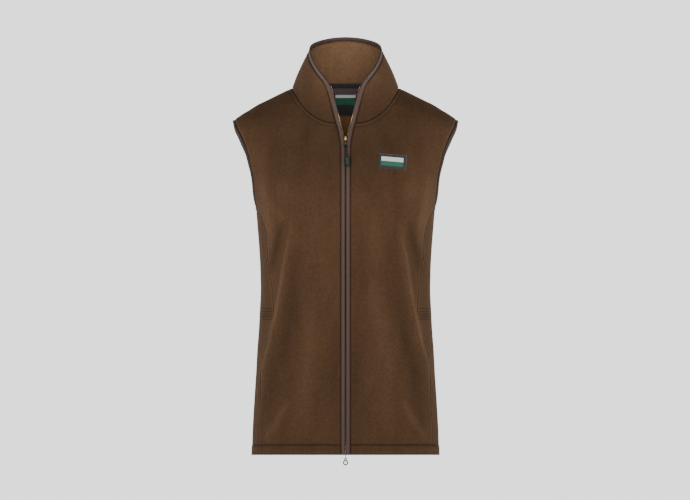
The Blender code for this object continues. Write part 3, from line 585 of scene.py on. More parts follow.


# the recess, top and trough tones are painted shade, the ridge tones a painted highlight; the
# collar and inside tones paint lit copies
fleeceSettings = {
    "dark": (0.0310, 0.0157, 0.0078), "light": (0.0655, 0.0350, 0.0182), "pile": 620.0,
    "clump": 190.0, "brush": 26.0, "pileShare": 0.42, "clumpShare": 0.3, "brushShare": 0.28,
    "sheen": 0.04, "collarPaintedTone": 1.06, "insidePaintedLight": 2.6, "collarInsideLit": 1.75,
    "recessPaintedShade": 0.55, "topPaintedShade": 0.66, "troughPaintedShade": 0.72, "ridgePaintedHighlight": (1.56, 1.65, 1.78),
}


# brushed fleece: short pile, small clumps and soft patches where the nap lies another way, painted
# darker in seams, on upward faces and in fold troughs as shade, and lighter on fold ridges as a
# painted highlight
def fleeceMaterial(name, settings, paintedLight=1.0):
    # a factor above 1 paints a lit copy of the fleece
    dark, light = [tuple(paintedLight * c for c in settings[key]) for key in ("dark", "light")]
    material, tree, shader = newMaterial(name, 0.92, light, specular=0.05, sheenRough=0.4,
                                         sheen=settings["sheen"], sheenTint=(0.85, 0.62, 0.45, 1))
    coords = objectCoords(tree)
    streaks = addNode(tree, "ShaderNodeMapping", {"Vector": coords})
    streaks.inputs["Scale"].default_value = (1.0, 1.0, 0.3)
    pile = noise(tree, coords, settings["pile"], 3.0, Roughness=0.65)
    clump = noise(tree, coords, settings["clump"], 2.0, Roughness=0.6)
    brush = noise(tree, streaks.outputs[0], settings["brush"], 3.0, Roughness=0.55,
                  Distortion=0.5)
    tone = sums(tree, "MULTIPLY", ramp(tree, pile, 0.28, 0.72), settings["pileShare"])
    for source, share in ((clump, settings["clumpShare"]), (brush, settings["brushShare"])):
        tone = sums(tree, "MULTIPLY_ADD", ramp(tree, source, 0.3, 0.7), share, tone)
    colour = mixColours(tree, tone, dark, light)
    # painted light: shade in seams, on upward faces and in fold troughs, highlight on fold ridges
    recessShadeAndPanel, foldHighlightShade = attribute(tree, "recessShadeAndPanel"), attribute(tree, "foldHighlightShade")
    for source, span, tones in ((recessShadeAndPanel, (0.0, 1.0), (1.0, settings["recessPaintedShade"])),
                                (facingUp(tree), (0.05, 0.6), (1.0, settings["topPaintedShade"])),
                                (foldHighlightShade, (-2.0, 0.0), (settings["troughPaintedShade"], 1.12)),
                                (foldHighlightShade, (0.0, 3.0), (1.0, settings["ridgePaintedHighlight"]))):
        colour = shadedBy(tree, colour, source, span, tones)
    dressShader(tree, shader, colour, (clump, 0.35, 0.0016), (pile, 0.6, 0.0007))
    return material


# the collar and arm tones paint shaded copies of the binding; the fold and top tones paint shade
# in its folds and on its upward faces
bindingSettings = {"dark": (0.037, 0.0205, 0.0155), "light": (0.086, 0.050, 0.039),
                   "rib": 1500.0, "collarPaintedTone": 0.84, "armPaintedShade": 0.6, "foldPaintedShade": 0.3,
                   "topPaintedShade": 0.45}


# knitted stretch binding: fine ribs along the strip's own length and a soft sheen, with painted
# shade in its folds and on its upward faces
def bindingMaterial(name, settings, tone=1.0):
    # a tone below 1 paints a shaded copy of the binding
    dark, light = (tuple(tone * part for part in settings[key]) for key in ("dark", "light"))
    material, tree, shader = newMaterial(name, 0.62, light, specular=0.2, sheen=0.06,
                                         sheenTint=(0.8, 0.66, 0.6, 1))
    uv = clothMap(tree)
    ribs = sums(tree, "MULTIPLY", bands(tree, uv, "Y", settings["rib"] / 6.283),
                noise(tree, uv, 1400.0, 2.0))
    colour = mixColours(tree, ramp(tree, ribs, 0.0, 0.55), dark, light)
    # painted shade in the strip's folds
    colour = shadedBy(tree, colour, attribute(tree, "recessShadeAndPanel"), (0.0, 1.0),
                      (1.0, settings["foldPaintedShade"]))
    colour = shadedBy(tree, colour, facingUp(tree), (0.25, 0.8), (1.0, settings["topPaintedShade"]))
    dressShader(tree, shader, colour, (ribs, 0.35, 0.00025))
    return material


# woven tape: fine crossing threads on the strip's own map
def wovenMaterial(name, dark, light, across, along, sheen=0.2):
    material, tree, shader = newMaterial(name, 0.75, light, specular=0.25, sheen=sheen)
    uv = clothMap(tree)
    both = sums(tree, "MULTIPLY", bands(tree, uv, "X", across), bands(tree, uv, "Y", along))
    tone = ramp(tree, sums(tree, "ADD", both, noise(tree, uv, 700.0, 2.0)), 0.3, 1.4)
    dressShader(tree, shader, mixColours(tree, tone, dark, light), (both, 0.4, 0.0002))
    return material


# twisted sewing thread
def threadMaterial(name, colour):
    material, tree, shader = newMaterial(name, 0.55, colour, specular=0.1)
    twist = bands(tree, objectCoords(tree), "DIAGONAL", 900.0)
    dark, light = (tuple(tone * c for c in colour) for tone in (0.6, 1.35))
    dressShader(tree, shader, mixColours(tree, twist, dark, light), (twist, 0.4, 0.0001))
    return material


# plated metal with small wear and tarnish in the tone and the gloss
def metalMaterial(name, colour, dark, rough):
    material, tree, shader = newMaterial(name, rough, colour, metal=1.0)
    spots = noise(tree, objectCoords(tree), 420.0, 4.0)
    gloss = ramp(tree, spots, 0.0, 1.0, rough + 0.15, rough - 0.08)
    tree.links.new(gloss, shader.inputs["Roughness"])
    dressShader(tree, shader, mixColours(tree, ramp(tree, spots, 0.3, 0.62), dark, colour),
                (spots, 0.08, 0.0001))
    return material


# the inside, collar-inside and collar fleeces are the same fleece painted lighter, as lit
fleece = fleeceMaterial("fleeceNap", fleeceSettings)
fleeceInsideLit = fleeceMaterial("fleeceInsideLit", fleeceSettings, fleeceSettings["insidePaintedLight"])
collarInsideLit = fleeceMaterial("collarInsideLit", fleeceSettings, fleeceSettings["collarInsideLit"])
fleeceCollarLit = fleeceMaterial("fleeceCollarLit", fleeceSettings, fleeceSettings["collarPaintedTone"])
# the collar and armhole strips are the same binding painted darker, as shaded
binding = bindingMaterial("stretchBinding", bindingSettings)
armStripShaded = bindingMaterial("stretchBindingArmShaded", bindingSettings, bindingSettings["armPaintedShade"])
collarStripShaded = bindingMaterial("stretchBindingCollarShaded", bindingSettings,
                              bindingSettings["collarPaintedTone"])
threadSettings = {"brownThread": (0.024, 0.0125, 0.0065), "plumThread": (0.066, 0.042, 0.036)}
brownThread, plumThread = (threadMaterial(*item) for item in threadSettings.items())
metalSettings = {  # colour, tarnish, roughness
    "satinBrass": ((0.62, 0.42, 0.17), (0.30, 0.19, 0.075), 0.32),
    "agedBrass": ((0.13, 0.088, 0.043), (0.045, 0.031, 0.018), 0.38),
    # dull brass for the slider bodies, also painted shade on the teeth in the closed zip
    "dullBrassAndShade": ((0.10, 0.07, 0.035), (0.04, 0.028, 0.016), 0.5),
}
brass, agedBrass, dullBrassAndShade = (metalMaterial(name, *values)
                               for name, values in metalSettings.items())
tapeCloth = wovenMaterial("zipTape", (0.012, 0.008, 0.007), (0.034, 0.023, 0.02), 260.0, 300.0)
print("materials made")

# nets of the fronts, and of the back from the wearer's left round to the right
sides = ((1, "Left"), (-1, "Right"))
frontNet, frontU = frontAngles()
neckCols = int(np.sum(frontU <= 0.5))
frontSurface = {side: bodyPoint(frontNet[..., 0], frontNet[..., 1], side)[:, ::side]
                for side in (1, -1)}
backNet, backMain, backLowRows, backU = backAngles()
halfLeft, halfRight = (bodyPoint(backNet[..., 0], backNet[..., 1], side) for side in (1, -1))
backSurface = np.concatenate([halfLeft[:, ::-1], halfRight[:, 1:]], axis=1)
backCols = backSurface.shape[1]
underCols = len(backU) - backMain
neckSplit = int(np.sum(backU / backU[backMain - 1] <= neckShare + 1e-9))
centreCol = len(backU) - 1
print("body nets", frontNet.shape, backSurface.shape)


def keepBack(i, j):
    return i < backLowRows - 1 or (underCols <= j < backCols - 1 - underCols)


# collar: a net between the neckline and the top edge
def collarNet():
    neckFront = frontSurface[1][-1, :neckCols]
    neckBack = halfLeft[-1][:neckSplit][::-1]
    behind = np.concatenate([neckFront[-1:], neckBack[1:]])
    base = np.concatenate([smoothLine(neckFront, 61), smoothLine(behind, 49)[1:]])
    u = np.linspace(0, 1, len(base))
    v = closeEnds(92, 3.0)
    top = smoothLine(edgeSettings["collarTop"], len(base))
    front = smoothLine(edgeSettings["collarFront"], v)
    front = front + (base[0] - front[0]) * (1 - v[:, None]) ** 4
    middle = base[-1] + (top[-1] - base[-1]) * v[:, None]
    half = patch(base, top, front, middle, u, v)
    swell = edgeSettings["collarBulge"] * np.sin(math.pi * v)[:, None]
    swell = swell * np.minimum(1, 2.2 * u + 0.15)[None]
    half = half + swell[..., None] * netNormals(half)
    return np.concatenate([half, mirrored(half[:, ::-1])[:, 1:]], axis=1)


collarSurface = collarNet()
print("collar net", collarSurface.shape)


# how far the cloth's edges are moved out, or in where below 0
trimSettings = {"seam": -0.15, "bound": -1.8, "collarLow": -1.7, "collarHigh": -2.0,
                "outer": 0.25}


# moves the outer rows and columns along the cloth: low, high, first and last
def trimmed(points, low=trimSettings["seam"], high=trimSettings["seam"],
            first=trimSettings["seam"], last=trimSettings["seam"]):
    out = points.copy()
    for field, made, amounts in ((points.swapaxes(0, 1), out.swapaxes(0, 1), (first, last)),
                                 (points, out, (low, high))):
        for edge, inner, amount in ((0, 1, amounts[0]), (-1, -2, amounts[1])):
            move = field[inner] - field[edge]
            far = np.maximum(np.linalg.norm(move, axis=1, keepdims=True), 1e-9)
            made[edge] += move / far * amount
    return out


# painted highlight in a band a little off each seam and row of stitches, where turned cloth would
# catch the light; the cloth itself is not raised there
seamHighlight = {"offset": 3.0, "high": 2.1, "width": 1.1, "neckOffset": 4.0, "neckHigh": 1.7,
             "neckWidth": 1.4}


def highlightBesideSeams(points, seams, neck=None):
    out = sum(-grooveAt(points, line, seamHighlight["offset"], seamHighlight["high"], seamHighlight["width"])
              for line in seams)
    if neck is not None:
        out = out - grooveAt(points, neck, seamHighlight["neckOffset"], seamHighlight["neckHigh"],
                             seamHighlight["neckWidth"])
    return out


# grooves of the stitches above the hem and beside the neck seam
sewSettings = {"hemRow": 11, "hemGroove": (0.0, 1.2, 1.5), "neckLine": 6.4,
               "neckGroove": (6.4, 0.7, 1.3), "deepest": -1.9}
clothNets = {}


def bodyLift(surface, neck, *edges):
    lift = rolled(surface, *edges, (neck, "neck"), (surface[0], "hem"))
    lift += grooveAt(surface, neck, *sewSettings["neckGroove"])
    lift += grooveAt(surface, surface[sewSettings["hemRow"]], *sewSettings["hemGroove"])
    return np.maximum(lift, sewSettings["deepest"])


# fleece with a wall, attached to the gilet
def fleecePiece(name, cut, node, material=fleece, inner=None, **marks):
    obj = clothMesh(name + "Fleece", clothNets[name], **marks)
    giveWall(obj, bodySettings["wall"], inside=1)
    finishPiece(obj, material, "fleece", "gilet", node, inner=inner)


for side, label in sides:
    surface = frontSurface[side]
    sideCol, zipCol = (-1, 0) if side == 1 else (0, -1)
    neck = surface[-1, :neckCols] if side == 1 else surface[-1, -neckCols:]
    shoulder = surface[-1, neckCols - 1:] if side == 1 else surface[-1, :1 - neckCols]
    lift = bodyLift(surface, neck, (surface[:, sideCol], "seam"), (surface[:, zipCol], "zip"),
                    (shoulder, "seam"))
    points = surface + lift[..., None] * netNormals(surface)
    first, last = (trimSettings[key] for key in ("bound", "seam")[::side])
    clothNets["front" + label] = trimmed(points, low=0, first=first, last=last)
    raised = foldLift("front", points[..., 0], points[..., 2])
    raised += highlightBesideSeams(surface, [surface[:, sideCol]], neck)
    fleecePiece("front" + label, "front", "front_" + label.lower(), lift=lift, raised=raised)
print("fronts made")

backNormals = netNormals(backSurface)
backNormals[backLowRows:, :underCols] = backNormals[backLowRows - 1, :underCols]
leftSeam, rightSeam = backSurface[:backLowRows, 0], backSurface[:backLowRows, -1]
armLine = np.concatenate([backSurface[backLowRows - 1, :underCols + 1],
                          backSurface[backLowRows - 1:, underCols]])
backNeck = backSurface[-1, centreCol - neckSplit + 1:centreCol + neckSplit]
leftShoulder = backSurface[-1, underCols:centreCol - neckSplit + 2]
rightShoulder = backSurface[-1, centreCol + neckSplit - 1:backCols - underCols]
backLift = bodyLift(backSurface, backNeck, (leftSeam, "seam"), (rightSeam, "seam"),
                    (armLine, "arm"), (mirrored(armLine), "arm"),
                    (leftShoulder, "seam"), (rightShoulder, "seam"))
backPoints = backSurface + backLift[..., None] * backNormals
clothNets["back"] = trimmed(backPoints, low=0)
backReliefShading = foldLift("back", backPoints[..., 0], backPoints[..., 2])
backReliefShading += highlightBesideSeams(backSurface, [leftSeam, rightSeam], backNeck)
fleecePiece("back", "back", "back", keep=keepBack, lift=backLift, raised=backReliefShading)
print("back made")

# side pieces behind the pocket mouths, with five grooves where the tack rows press the pile, and
# painted shade in the grooves
pocketSettings = {"low": -520.3, "high": -327.2, "tackLow": -450, "tackHigh": -420,
                  "deepest": -1.4}
tackSettings = {"rows": (-424.5, -430.5, -435.5, -440.0, -445.0), "inner": 0.03, "outer": 0.5,
                "deep": 0.75, "pitch": 2.4, "size": (0.7, 2.3, 0.5)}
pocketZ = np.concatenate([
    np.linspace(pocketSettings["low"], pocketSettings["tackLow"], 25)[:-1],
    np.arange(pocketSettings["tackLow"], pocketSettings["tackHigh"], 0.8),
    np.linspace(pocketSettings["tackHigh"], pocketSettings["high"], 32)])
pocketEdges = smoothTable(sideTable, pocketZ)
pocketShares = closeEnds(100, 3.6)
for side, label in sides:
    angles = pocketEdges[:, :1] + (pocketEdges[:, 1:] - pocketEdges[:, :1]) * pocketShares[None]
    points = bodyPoint(angles, pocketZ[:, None] + 0 * angles, side)[:, ::side]
    lift = rolled(points, (points[:, 0], "seam"), (points[:, -1], "seam"))
    share = pocketShares[::side]
    within = (ease((share - tackSettings["inner"]) / 0.04)
              * ease((tackSettings["outer"] + 0.03 - share) / 0.1))
    for z in tackSettings["rows"]:
        row = np.exp(-((pocketZ - z) ** 2))
        lift -= tackSettings["deep"] * within[None] * row[:, None]
    points = points + np.maximum(lift, pocketSettings["deepest"])[..., None] * netNormals(points)
    clothNets["pocket" + label] = trimmed(points, low=0, high=0)
    raised = foldLift("front", points[..., 0], points[..., 2])
    raised += highlightBesideSeams(points, [points[:, 0], points[:, -1]])
    fleecePiece("pocket" + label, "pocket", "pocket_" + label.lower(), lift=lift, raised=raised)
print("side pieces made")

# collar piece, with painted shade low down and painted highlight towards its top
collarNormals = netNormals(collarSurface)
collarLift = rolled(collarSurface, (collarSurface[0], "collarNeck"),
                    (collarSurface[-1], "collar"), (collarSurface[:, 0], "collar"),
                    (collarSurface[:, -1], "collar"))
collarPoints = (collarSurface
                + np.maximum(collarLift, trimSettings["collarLow"])[..., None] * collarNormals)
clothNets["collar"] = trimmed(collarPoints, trimSettings["collarLow"],
                              trimSettings["collarHigh"], trimSettings["bound"],
                              trimSettings["bound"])
fleecePiece("collar", "collar", "collar", fleeceCollarLit, collarInsideLit, lift=collarLift,
            raised=3.2 * ease((collarPoints[..., 2] + 70) / 110) - 1.6)
print("collar made")


# closed strip through rings of points, with its own length and breadth as the UV map
def stripMesh(name, rings, loopPath=False, smooth=True, shadeAndPanel=None):
    rings = np.asarray(rings, float)
    rings = np.concatenate([rings, rings[:, :1]], axis=1)
    if loopPath:
        rings = np.concatenate([rings, rings[:1]], axis=0)
    # shade-and-panel values: the share of painted shade on binding points, and the share of the
    # coloured inset panel on grip points
    lift = None
    if shadeAndPanel is not None:
        shadeAndPanel = np.atleast_2d(shadeAndPanel)
        shadeAndPanel = np.concatenate([shadeAndPanel, shadeAndPanel[:, :1]], axis=1)
        lift = -1.6 * np.broadcast_to(shadeAndPanel, rings.shape[:2])
    obj = clothMesh(name, rings, lift=lift)
    work = bmesh.new()
    work.from_mesh(obj.data)
    bmesh.ops.remove_doubles(work, verts=work.verts, dist=2e-6)
    openEdges = [edge for edge in work.edges if edge.is_boundary]
    if openEdges:
        bmesh.ops.holes_fill(work, edges=openEdges, sides=0)
    bmesh.ops.recalc_face_normals(work, faces=work.faces)
    for face in work.faces:
        face.smooth = smooth
    work.to_mesh(obj.data)
    work.free()
    return obj


def softened(values, reach, loopPath=False):
    padded = np.pad(values, ((reach, reach), (0, 0)), mode="wrap" if loopPath else "edge")
    weights = np.hanning(2 * reach + 3)[1:-1]
    weights /= weights.sum()
    return np.stack([np.convolve(padded[:, k], weights, mode="valid")
                     for k in range(values.shape[1])], axis=1)


def unit(field):
    return field / np.linalg.norm(field, axis=-1, keepdims=True)


def alongPath(path, loopPath):
    return unit(np.roll(path, -1, 0) - np.roll(path, 1, 0) if loopPath
                else np.gradient(path, axis=0))


# even places along an edge, with the cloth's normal and the way out of the cloth
def edgePath(points, normals, step, loopPath=False, soft=3):
    if loopPath:
        points, normals = (np.concatenate([field, field[:1]]) for field in (points, normals))
    length = runLength(points)
    at = np.linspace(0, length[-1], int(round(length[-1] / step)) + 1)
    at = at[:-1] if loopPath else at
    kept = readAt(at, length, points)
    place = softened(kept, soft, loopPath)
    if not loopPath:
        place[0], place[-1] = kept[0], kept[-1]
    normal = unit(softened(readAt(at, length, normals), soft * 2, loopPath))
    along = alongPath(place, loopPath)
    way = unit(np.cross(normal, along))
    return place, np.cross(along, way), way, at


def ringsOn(place, normal, way, section):
    rings = []
    for p, n, w in zip(place, normal, way):
        points = section(p) if callable(section) else section
        rings.append([p + a * w + b * n for a, b in points])
    return np.array(rings)


# copies of a small shape, each with its own matrix, as one piece
def manyOf(name, shape, matrices, smooth=True, turned=False):
    work = bmesh.new()
    for matrix in matrices:
        before = len(work.verts)
        work.from_mesh(shape)
        work.verts.ensure_lookup_table()
        bmesh.ops.transform(work, matrix=matrix, verts=work.verts[before:])
    if turned:
        bmesh.ops.reverse_faces(work, faces=work.faces)
    for face in work.faces:
        face.smooth = smooth
    return linked(name, meshFrom(work, name))


# matrix from a place, three axes and the sizes along them, in millimetres
def axesMatrix(place, axes, size=(1, 1, 1)):
    turn = Matrix([Vector(axis) for axis in axes]).transposed().to_4x4()
    scale = Matrix.Diagonal((*[0.001 * part for part in size], 1))
    return Matrix.Translation(Vector(place) * 0.001) @ turn @ scale


def frameMatrix(place, along, out, size):
    along = Vector(along).normalized()
    side = along.cross(Vector(out).normalized()).normalized()
    return axesMatrix(place, (side, along, side.cross(along)), size)


stitchSettings = {"pitch": 3.1, "size": (0.5, 2.5, 0.32), "ahead": 0.8, "stripPitch": 2.9,
                  "stripOut": 0.02, "bindingIn": 2.5, "armholeIn": 1.4, "fleeceOut": 0.12,
                  "tackOut": 0.15}
work = bmesh.new()
bmesh.ops.create_uvsphere(work, u_segments=6, v_segments=4, radius=0.5)
bmesh.ops.rotate(work, matrix=Matrix.Rotation(math.radians(90), 3, "X"), verts=work.verts)
stitchShape = meshFrom(work, "stitchShape")


# a row of stitches on a line of places with their outward directions
def stitchRow(name, line, outs, colour, pitch=stitchSettings["pitch"],
              size=stitchSettings["size"]):
    length = runLength(line)
    at = np.arange(pitch / 2, length[-1], pitch)
    near = stitchSettings["ahead"]
    ahead = readAt(at + near, length, line) - readAt(at - near, length, line)
    shapes = [frameMatrix(p, a, o, size)
              for p, a, o in zip(readAt(at, length, line), ahead, readAt(at, length, outs))]
    finishPiece(manyOf(name, stitchShape, shapes), colour, "fleece", "gilet")


# binding: one run up the left front, round the top of the collar and down the right front
bindingShape = {"wide": 8.3, "closedWide": 8.5, "openWide": 10.9, "low": -2.45, "high": 1.35,
                "armWide": 6.2, "step": 2.5, "over": 1.2, "thinFrom": (5, 25),
                "closed": (-684, 8, -118, 8), "open": (-58, 14, 34, 20)}
outer = trimSettings["outer"]
frontEdgeNet = trimmed(frontSurface[1], 0, outer, outer, outer)
collarEdgeNet = trimmed(collarSurface, outer, outer, outer, outer)
frontNormals = netNormals(frontSurface[1])
halfTopCols = collarSurface.shape[1] // 2 + 1
leftRun = np.concatenate([frontEdgeNet[:, 0], collarEdgeNet[2:, 0]])
halfRun = np.concatenate([leftRun, collarEdgeNet[-1, 1:halfTopCols]])
halfNormals = np.concatenate([frontNormals[:, 0], collarNormals[2:, 0],
                              collarNormals[-1, 1:halfTopCols]])
wholeRun, wholeNormals = (np.concatenate([half, mirrored(half[:-1])[::-1]])
                          for half in (halfRun, halfNormals))
bindPlace, bindNormal, bindWay, bindAt = edgePath(wholeRun, wholeNormals, bindingShape["step"])
cornerRow = int(np.searchsorted(bindAt, runLength(leftRun)[-1]))
lastRow = len(bindAt) - 1


# folded strip seen across: it reaches further over the outside of the cloth than the inside,
# and ends in a tongue that closes the seam
def foldedSection(wide, over=0.5, under=2.2, thin=0.0):
    low, high = bindingShape["low"] + 0.4 * thin, bindingShape["high"] - 0.6 * thin
    return [(under, low + 0.35), (under + 0.25, low + 0.08), (under + 0.9, low),
            (0.55 * wide, low - 0.05), (0.78 * wide, low), (0.92 * wide, low + 0.3),
            (wide, low + 1.0), (wide + 0.05, -0.6), (0.99 * wide, 0.15), (0.95 * wide, 0.68),
            (0.87 * wide, 1.06), (0.76 * wide, high), (0.63 * wide, high - 0.06),
            (0.49 * wide, high - 0.3), (0.35 * wide, high - 0.72), (0.22 * wide, high - 1.25),
            (0.12 * wide, high - 1.8), (over, -1.05), (over, -1.7), (-0.9, -1.8), (-0.9, -2.2)]


# painted shade on each point of that section, strongest where the strip folds round and under
stripShade = [0.5, 0.4, 0.3, 0.15, 0.15, 0.4, 0.8, 1.0, 0.85, 0.45, 0.1, 0, 0, 0.02, 0.1, 0.35,
             0.75, 1.0, 1.0, 1.0, 1.0]


def between(z, low, lowSoft, high, highSoft):
    return float(ease((z - low) / lowSoft) * ease((high - z) / highSoft))


# the strips all but meet over the closed zip and leave room at the two sliders
def bindSection(place):
    z = float(place[2])
    closed, opened = (between(z, *bindingShape[key]) for key in ("closed", "open"))
    thinFrom, thinSoft = bindingShape["thinFrom"]
    wide = bindingShape["wide"] + (bindingShape["closedWide"] - bindingShape["wide"]) * closed
    wide += (bindingShape["openWide"] - bindingShape["wide"]) * opened
    return foldedSection(wide, over=bindingShape["over"],
                         thin=float(ease((z - thinFrom) / thinSoft)))


def besideStrip(place, way, normal, inward):
    return place + inward * way + stitchSettings["stripOut"] * normal


bindRings = ringsOn(bindPlace, bindNormal, bindWay, bindSection)
for name, start, end, node in (
        ("frontBindingLeft", 0, cornerRow, "front_binding_left"),
        ("collarBinding", cornerRow, lastRow - cornerRow, "collar_binding"),
        ("frontBindingRight", lastRow - cornerRow, lastRow, "front_binding_right")):
    obj = stripMesh(name, bindRings[start:end + 1], shadeAndPanel=stripShade)
    finishPiece(obj, collarStripShaded if start == cornerRow else binding, "binding", "gilet", node)
stitchRow("bindingStitch",
          besideStrip(bindPlace, bindWay, bindNormal, stitchSettings["bindingIn"]), bindNormal,
          plumThread, pitch=stitchSettings["stripPitch"])
print("front and collar bindings made")

# armhole bindings: from the front edge, over the shoulder, down the back, under the arm
backEdgeNet = trimmed(backSurface, 0, outer, outer, outer)
armRun, armOuts = (np.concatenate([front[len(lowRows):, -1],
                                   back[backLowRows:-1, underCols][::-1],
                                   back[backLowRows - 1, :underCols + 1][::-1]])
                   for front, back in ((frontEdgeNet, backEdgeNet),
                                       (frontNormals, backNormals)))
armPlace, armNormal, armWay, armAt = edgePath(armRun, armOuts, bindingShape["step"],
                                              loopPath=True)
if np.mean(np.sum((armRun.mean(axis=0) - armPlace) * armWay, axis=1)) < 0:
    armWay = -armWay
armRings = ringsOn(armPlace, armNormal, armWay, foldedSection(bindingShape["armWide"]))
armStitch = besideStrip(armPlace, armWay, armNormal, stitchSettings["armholeIn"])
armStitch, armOut = (np.concatenate([field, field[:1]]) for field in (armStitch, armNormal))
for side, label in sides:
    flip = (side, 1.0, 1.0)
    obj = stripMesh("armholeBinding" + label, armRings * flip, loopPath=True, shadeAndPanel=stripShade)
    finishPiece(obj, armStripShaded, "binding", "gilet", "armhole_binding_" + label.lower())
    stitchRow("armholeStitch" + label, armStitch * flip, armOut * flip, brownThread,
              pitch=stitchSettings["stripPitch"])
print("armhole bindings made")

# zip tapes behind the bindings
zipSettings = {"tapeWall": 0.9, "pitch": 2.1, "tooth": (2.6, 0.95, 1.9), "place": (8.62, -4.87),
               "topGap": (-113.5, -92.5), "lowGap": (-702, -684), "start": 6.0, "end": 4.0,
               "narrow": 0.8, "bevel": 0.14}
tapeFace = [(8.4, -4.4), (6.5, -4.4), (4.6, -4.4), (3.2, -3.4), (-0.6, -3.4), (-4.5, -3.4)]
tapeBack = [(-4.5, -3.4), (-0.8, -3.4), (2.8, -3.4), (4.2, -4.4), (6.4, -4.4), (8.4, -4.4)]
tapeSection = tapeFace + [(a, b - zipSettings["tapeWall"]) for a, b in tapeBack]
tapeEnd = cornerRow - 3
tapeRings = ringsOn(bindPlace[:tapeEnd], bindNormal[:tapeEnd], bindWay[:tapeEnd], tapeSection)
for side, label in sides:
    obj = stripMesh("zipTape" + label, tapeRings * (side, 1, 1), smooth=False)
    finishPiece(obj, tapeCloth, "tape", "gilet", "zip_tape_" + label.lower())

work = bmesh.new()
bmesh.ops.create_cube(work, size=1.0)
narrow = [vert for vert in work.verts if vert.co.x > 0]
bmesh.ops.scale(work, vec=(1, zipSettings["narrow"], zipSettings["narrow"]), verts=narrow)
bmesh.ops.bevel(work, geom=work.edges[:] + work.verts[:], affect="EDGES",
                offset=zipSettings["bevel"], segments=1, profile=0.5, material=-1)
toothShape = meshFrom(work, "toothShape")


# places of the teeth on one side, in the open V or in the closed length below it
def toothMatrices(side, isOpen):
    matrices = []
    first = zipSettings["start"] + (0 if side == 1 else zipSettings["pitch"] / 2)
    for at in np.arange(first, bindAt[tapeEnd - 1] - zipSettings["end"], zipSettings["pitch"]):
        p, n, w = (readAt(at, bindAt, field) for field in (bindPlace, bindNormal, bindWay))
        atSlider = any(low < p[2] < high
                       for low, high in (zipSettings["topGap"], zipSettings["lowGap"]))
        if atSlider or (p[2] > zipSettings["topGap"][0]) != isOpen:
            continue
        place = p + zipSettings["place"][0] * w + zipSettings["place"][1] * n
        matrix = axesMatrix(place, (w, np.cross(w, n), n), zipSettings["tooth"])
        matrices.append(matrix if side == 1 else Matrix.Diagonal((-1, 1, 1, 1)) @ matrix)
    return matrices


# the teeth show bright where the zip is open; between the strips they get the dull brass, as
# painted shade in their gap
for part, metal in (("Open", brass), ("Closed", dullBrassAndShade)):
    for side, label in sides:
        obj = manyOf("zipTeeth" + part + label, toothShape, toothMatrices(side, part == "Open"),
                     smooth=False, turned=side == -1)
        finishPiece(obj, metal, "brass", "gilet")
print("zip made")

# sliders: plates either side of the tapes, a post between them, a nose and a loop
sliderSettings = {
    "top": {"z": -102.0, "plate": (4.2, -11.5, 9.0), "post": (1.4, 6.0, 8.6),
            "nose": (1.7, 0.5, 8.8, -3.4, 0.7, 0.42), "loop": (-7.8, 1.2, 4.8, 4.8), "thick": 0.75,
            "hole": (-8.9, 3.0, 2.5, 1.9), "eye": (-9.0, 2.95)},
    "bottom": {"z": -692.0, "plate": (4.2, -9.6, 8.0), "post": (0.5, -8.6, -6.0),
               "nose": (0.85, -12.6, -1.0, -3.4, 0.4, 0.25), "loop": (-15.2, -2.2, 3.3, 2.8),
               "thick": 0.6, "hole": (-15.2, -2.2, 2.2, 1.65)},
}
plateSettings = {  # back, front and bevel of the two plates and of the post between them
    "depths": ((-3.95, -2.95, 0.35), (-6.95, -5.95, 0.35)),
    "post": (-6.4, -3.4, 0.12),
}


def centreFrame(z):
    lowZ = max(z - 9.0, float(risen(0.0, hemZ)))
    low, high = bodyPoint(0.0, lowZ), bodyPoint(0.0, z + 8.0)
    up = (high - low) / np.linalg.norm(high - low)
    across = np.array([1.0, 0, 0])
    return low + (z - low[2]) / (high[2] - low[2]) * (high - low), across, up, np.cross(across, up)


def placeOn(at, x, u, b):
    origin, across, up, out = at
    return origin + x * across + u * up + b * out


def matrixOf(at):
    return axesMatrix(at[0], at[1:])


def addBlock(work, x, low, high, back, front, bevel):
    made = bmesh.ops.create_cube(work, size=1.0)["verts"]
    bmesh.ops.scale(work, vec=(2 * x, high - low, front - back), verts=made)
    bmesh.ops.translate(work, vec=(0, (high + low) / 2, (front + back) / 2), verts=made)
    edges = list({edge for vert in made for edge in vert.link_edges})
    bmesh.ops.bevel(work, geom=made + edges, affect="EDGES", offset=bevel, segments=3,
                    profile=0.5, material=-1)


# flat loop in the plane across the slider, from an outer and an inner oval
def addLoop(work, outer, inner, thick):
    sets = []
    for middleU, middleB, halfU, halfB in (outer, inner):
        ring = bmesh.ops.create_circle(work, cap_ends=False, segments=36, radius=1.0)["verts"]
        for vert in ring:
            t = math.atan2(vert.co.y, vert.co.x)
            c, s = math.cos(t), math.sin(t)
            vert.co = (-thick, middleU + halfU * math.copysign(abs(c) ** 0.77, c),
                       middleB + halfB * math.copysign(abs(s) ** 0.77, s))
        sets.append(list({edge for vert in ring for edge in vert.link_edges}))
    faces = bmesh.ops.bridge_loops(work, edges=sets[0] + sets[1])["faces"]
    grown = bmesh.ops.extrude_face_region(work, geom=faces)["geom"]
    moved = [item for item in grown if isinstance(item, bmesh.types.BMVert)]
    bmesh.ops.translate(work, vec=(2 * thick, 0, 0), verts=moved)
    whole = [face for face in work.faces if all(vert in set(moved) or vert.co.x < -thick + 1e-5
                                                for vert in face.verts)]
    bmesh.ops.recalc_face_normals(work, faces=whole)
    rims = [edge for edge in {edge for face in whole for edge in face.edges}
            if len(edge.link_faces) == 2 and edge.calc_face_angle(0) > 1.0]
    bmesh.ops.bevel(work, geom=rims, affect="EDGES", offset=0.28, segments=3, profile=0.5,
                    material=-1)


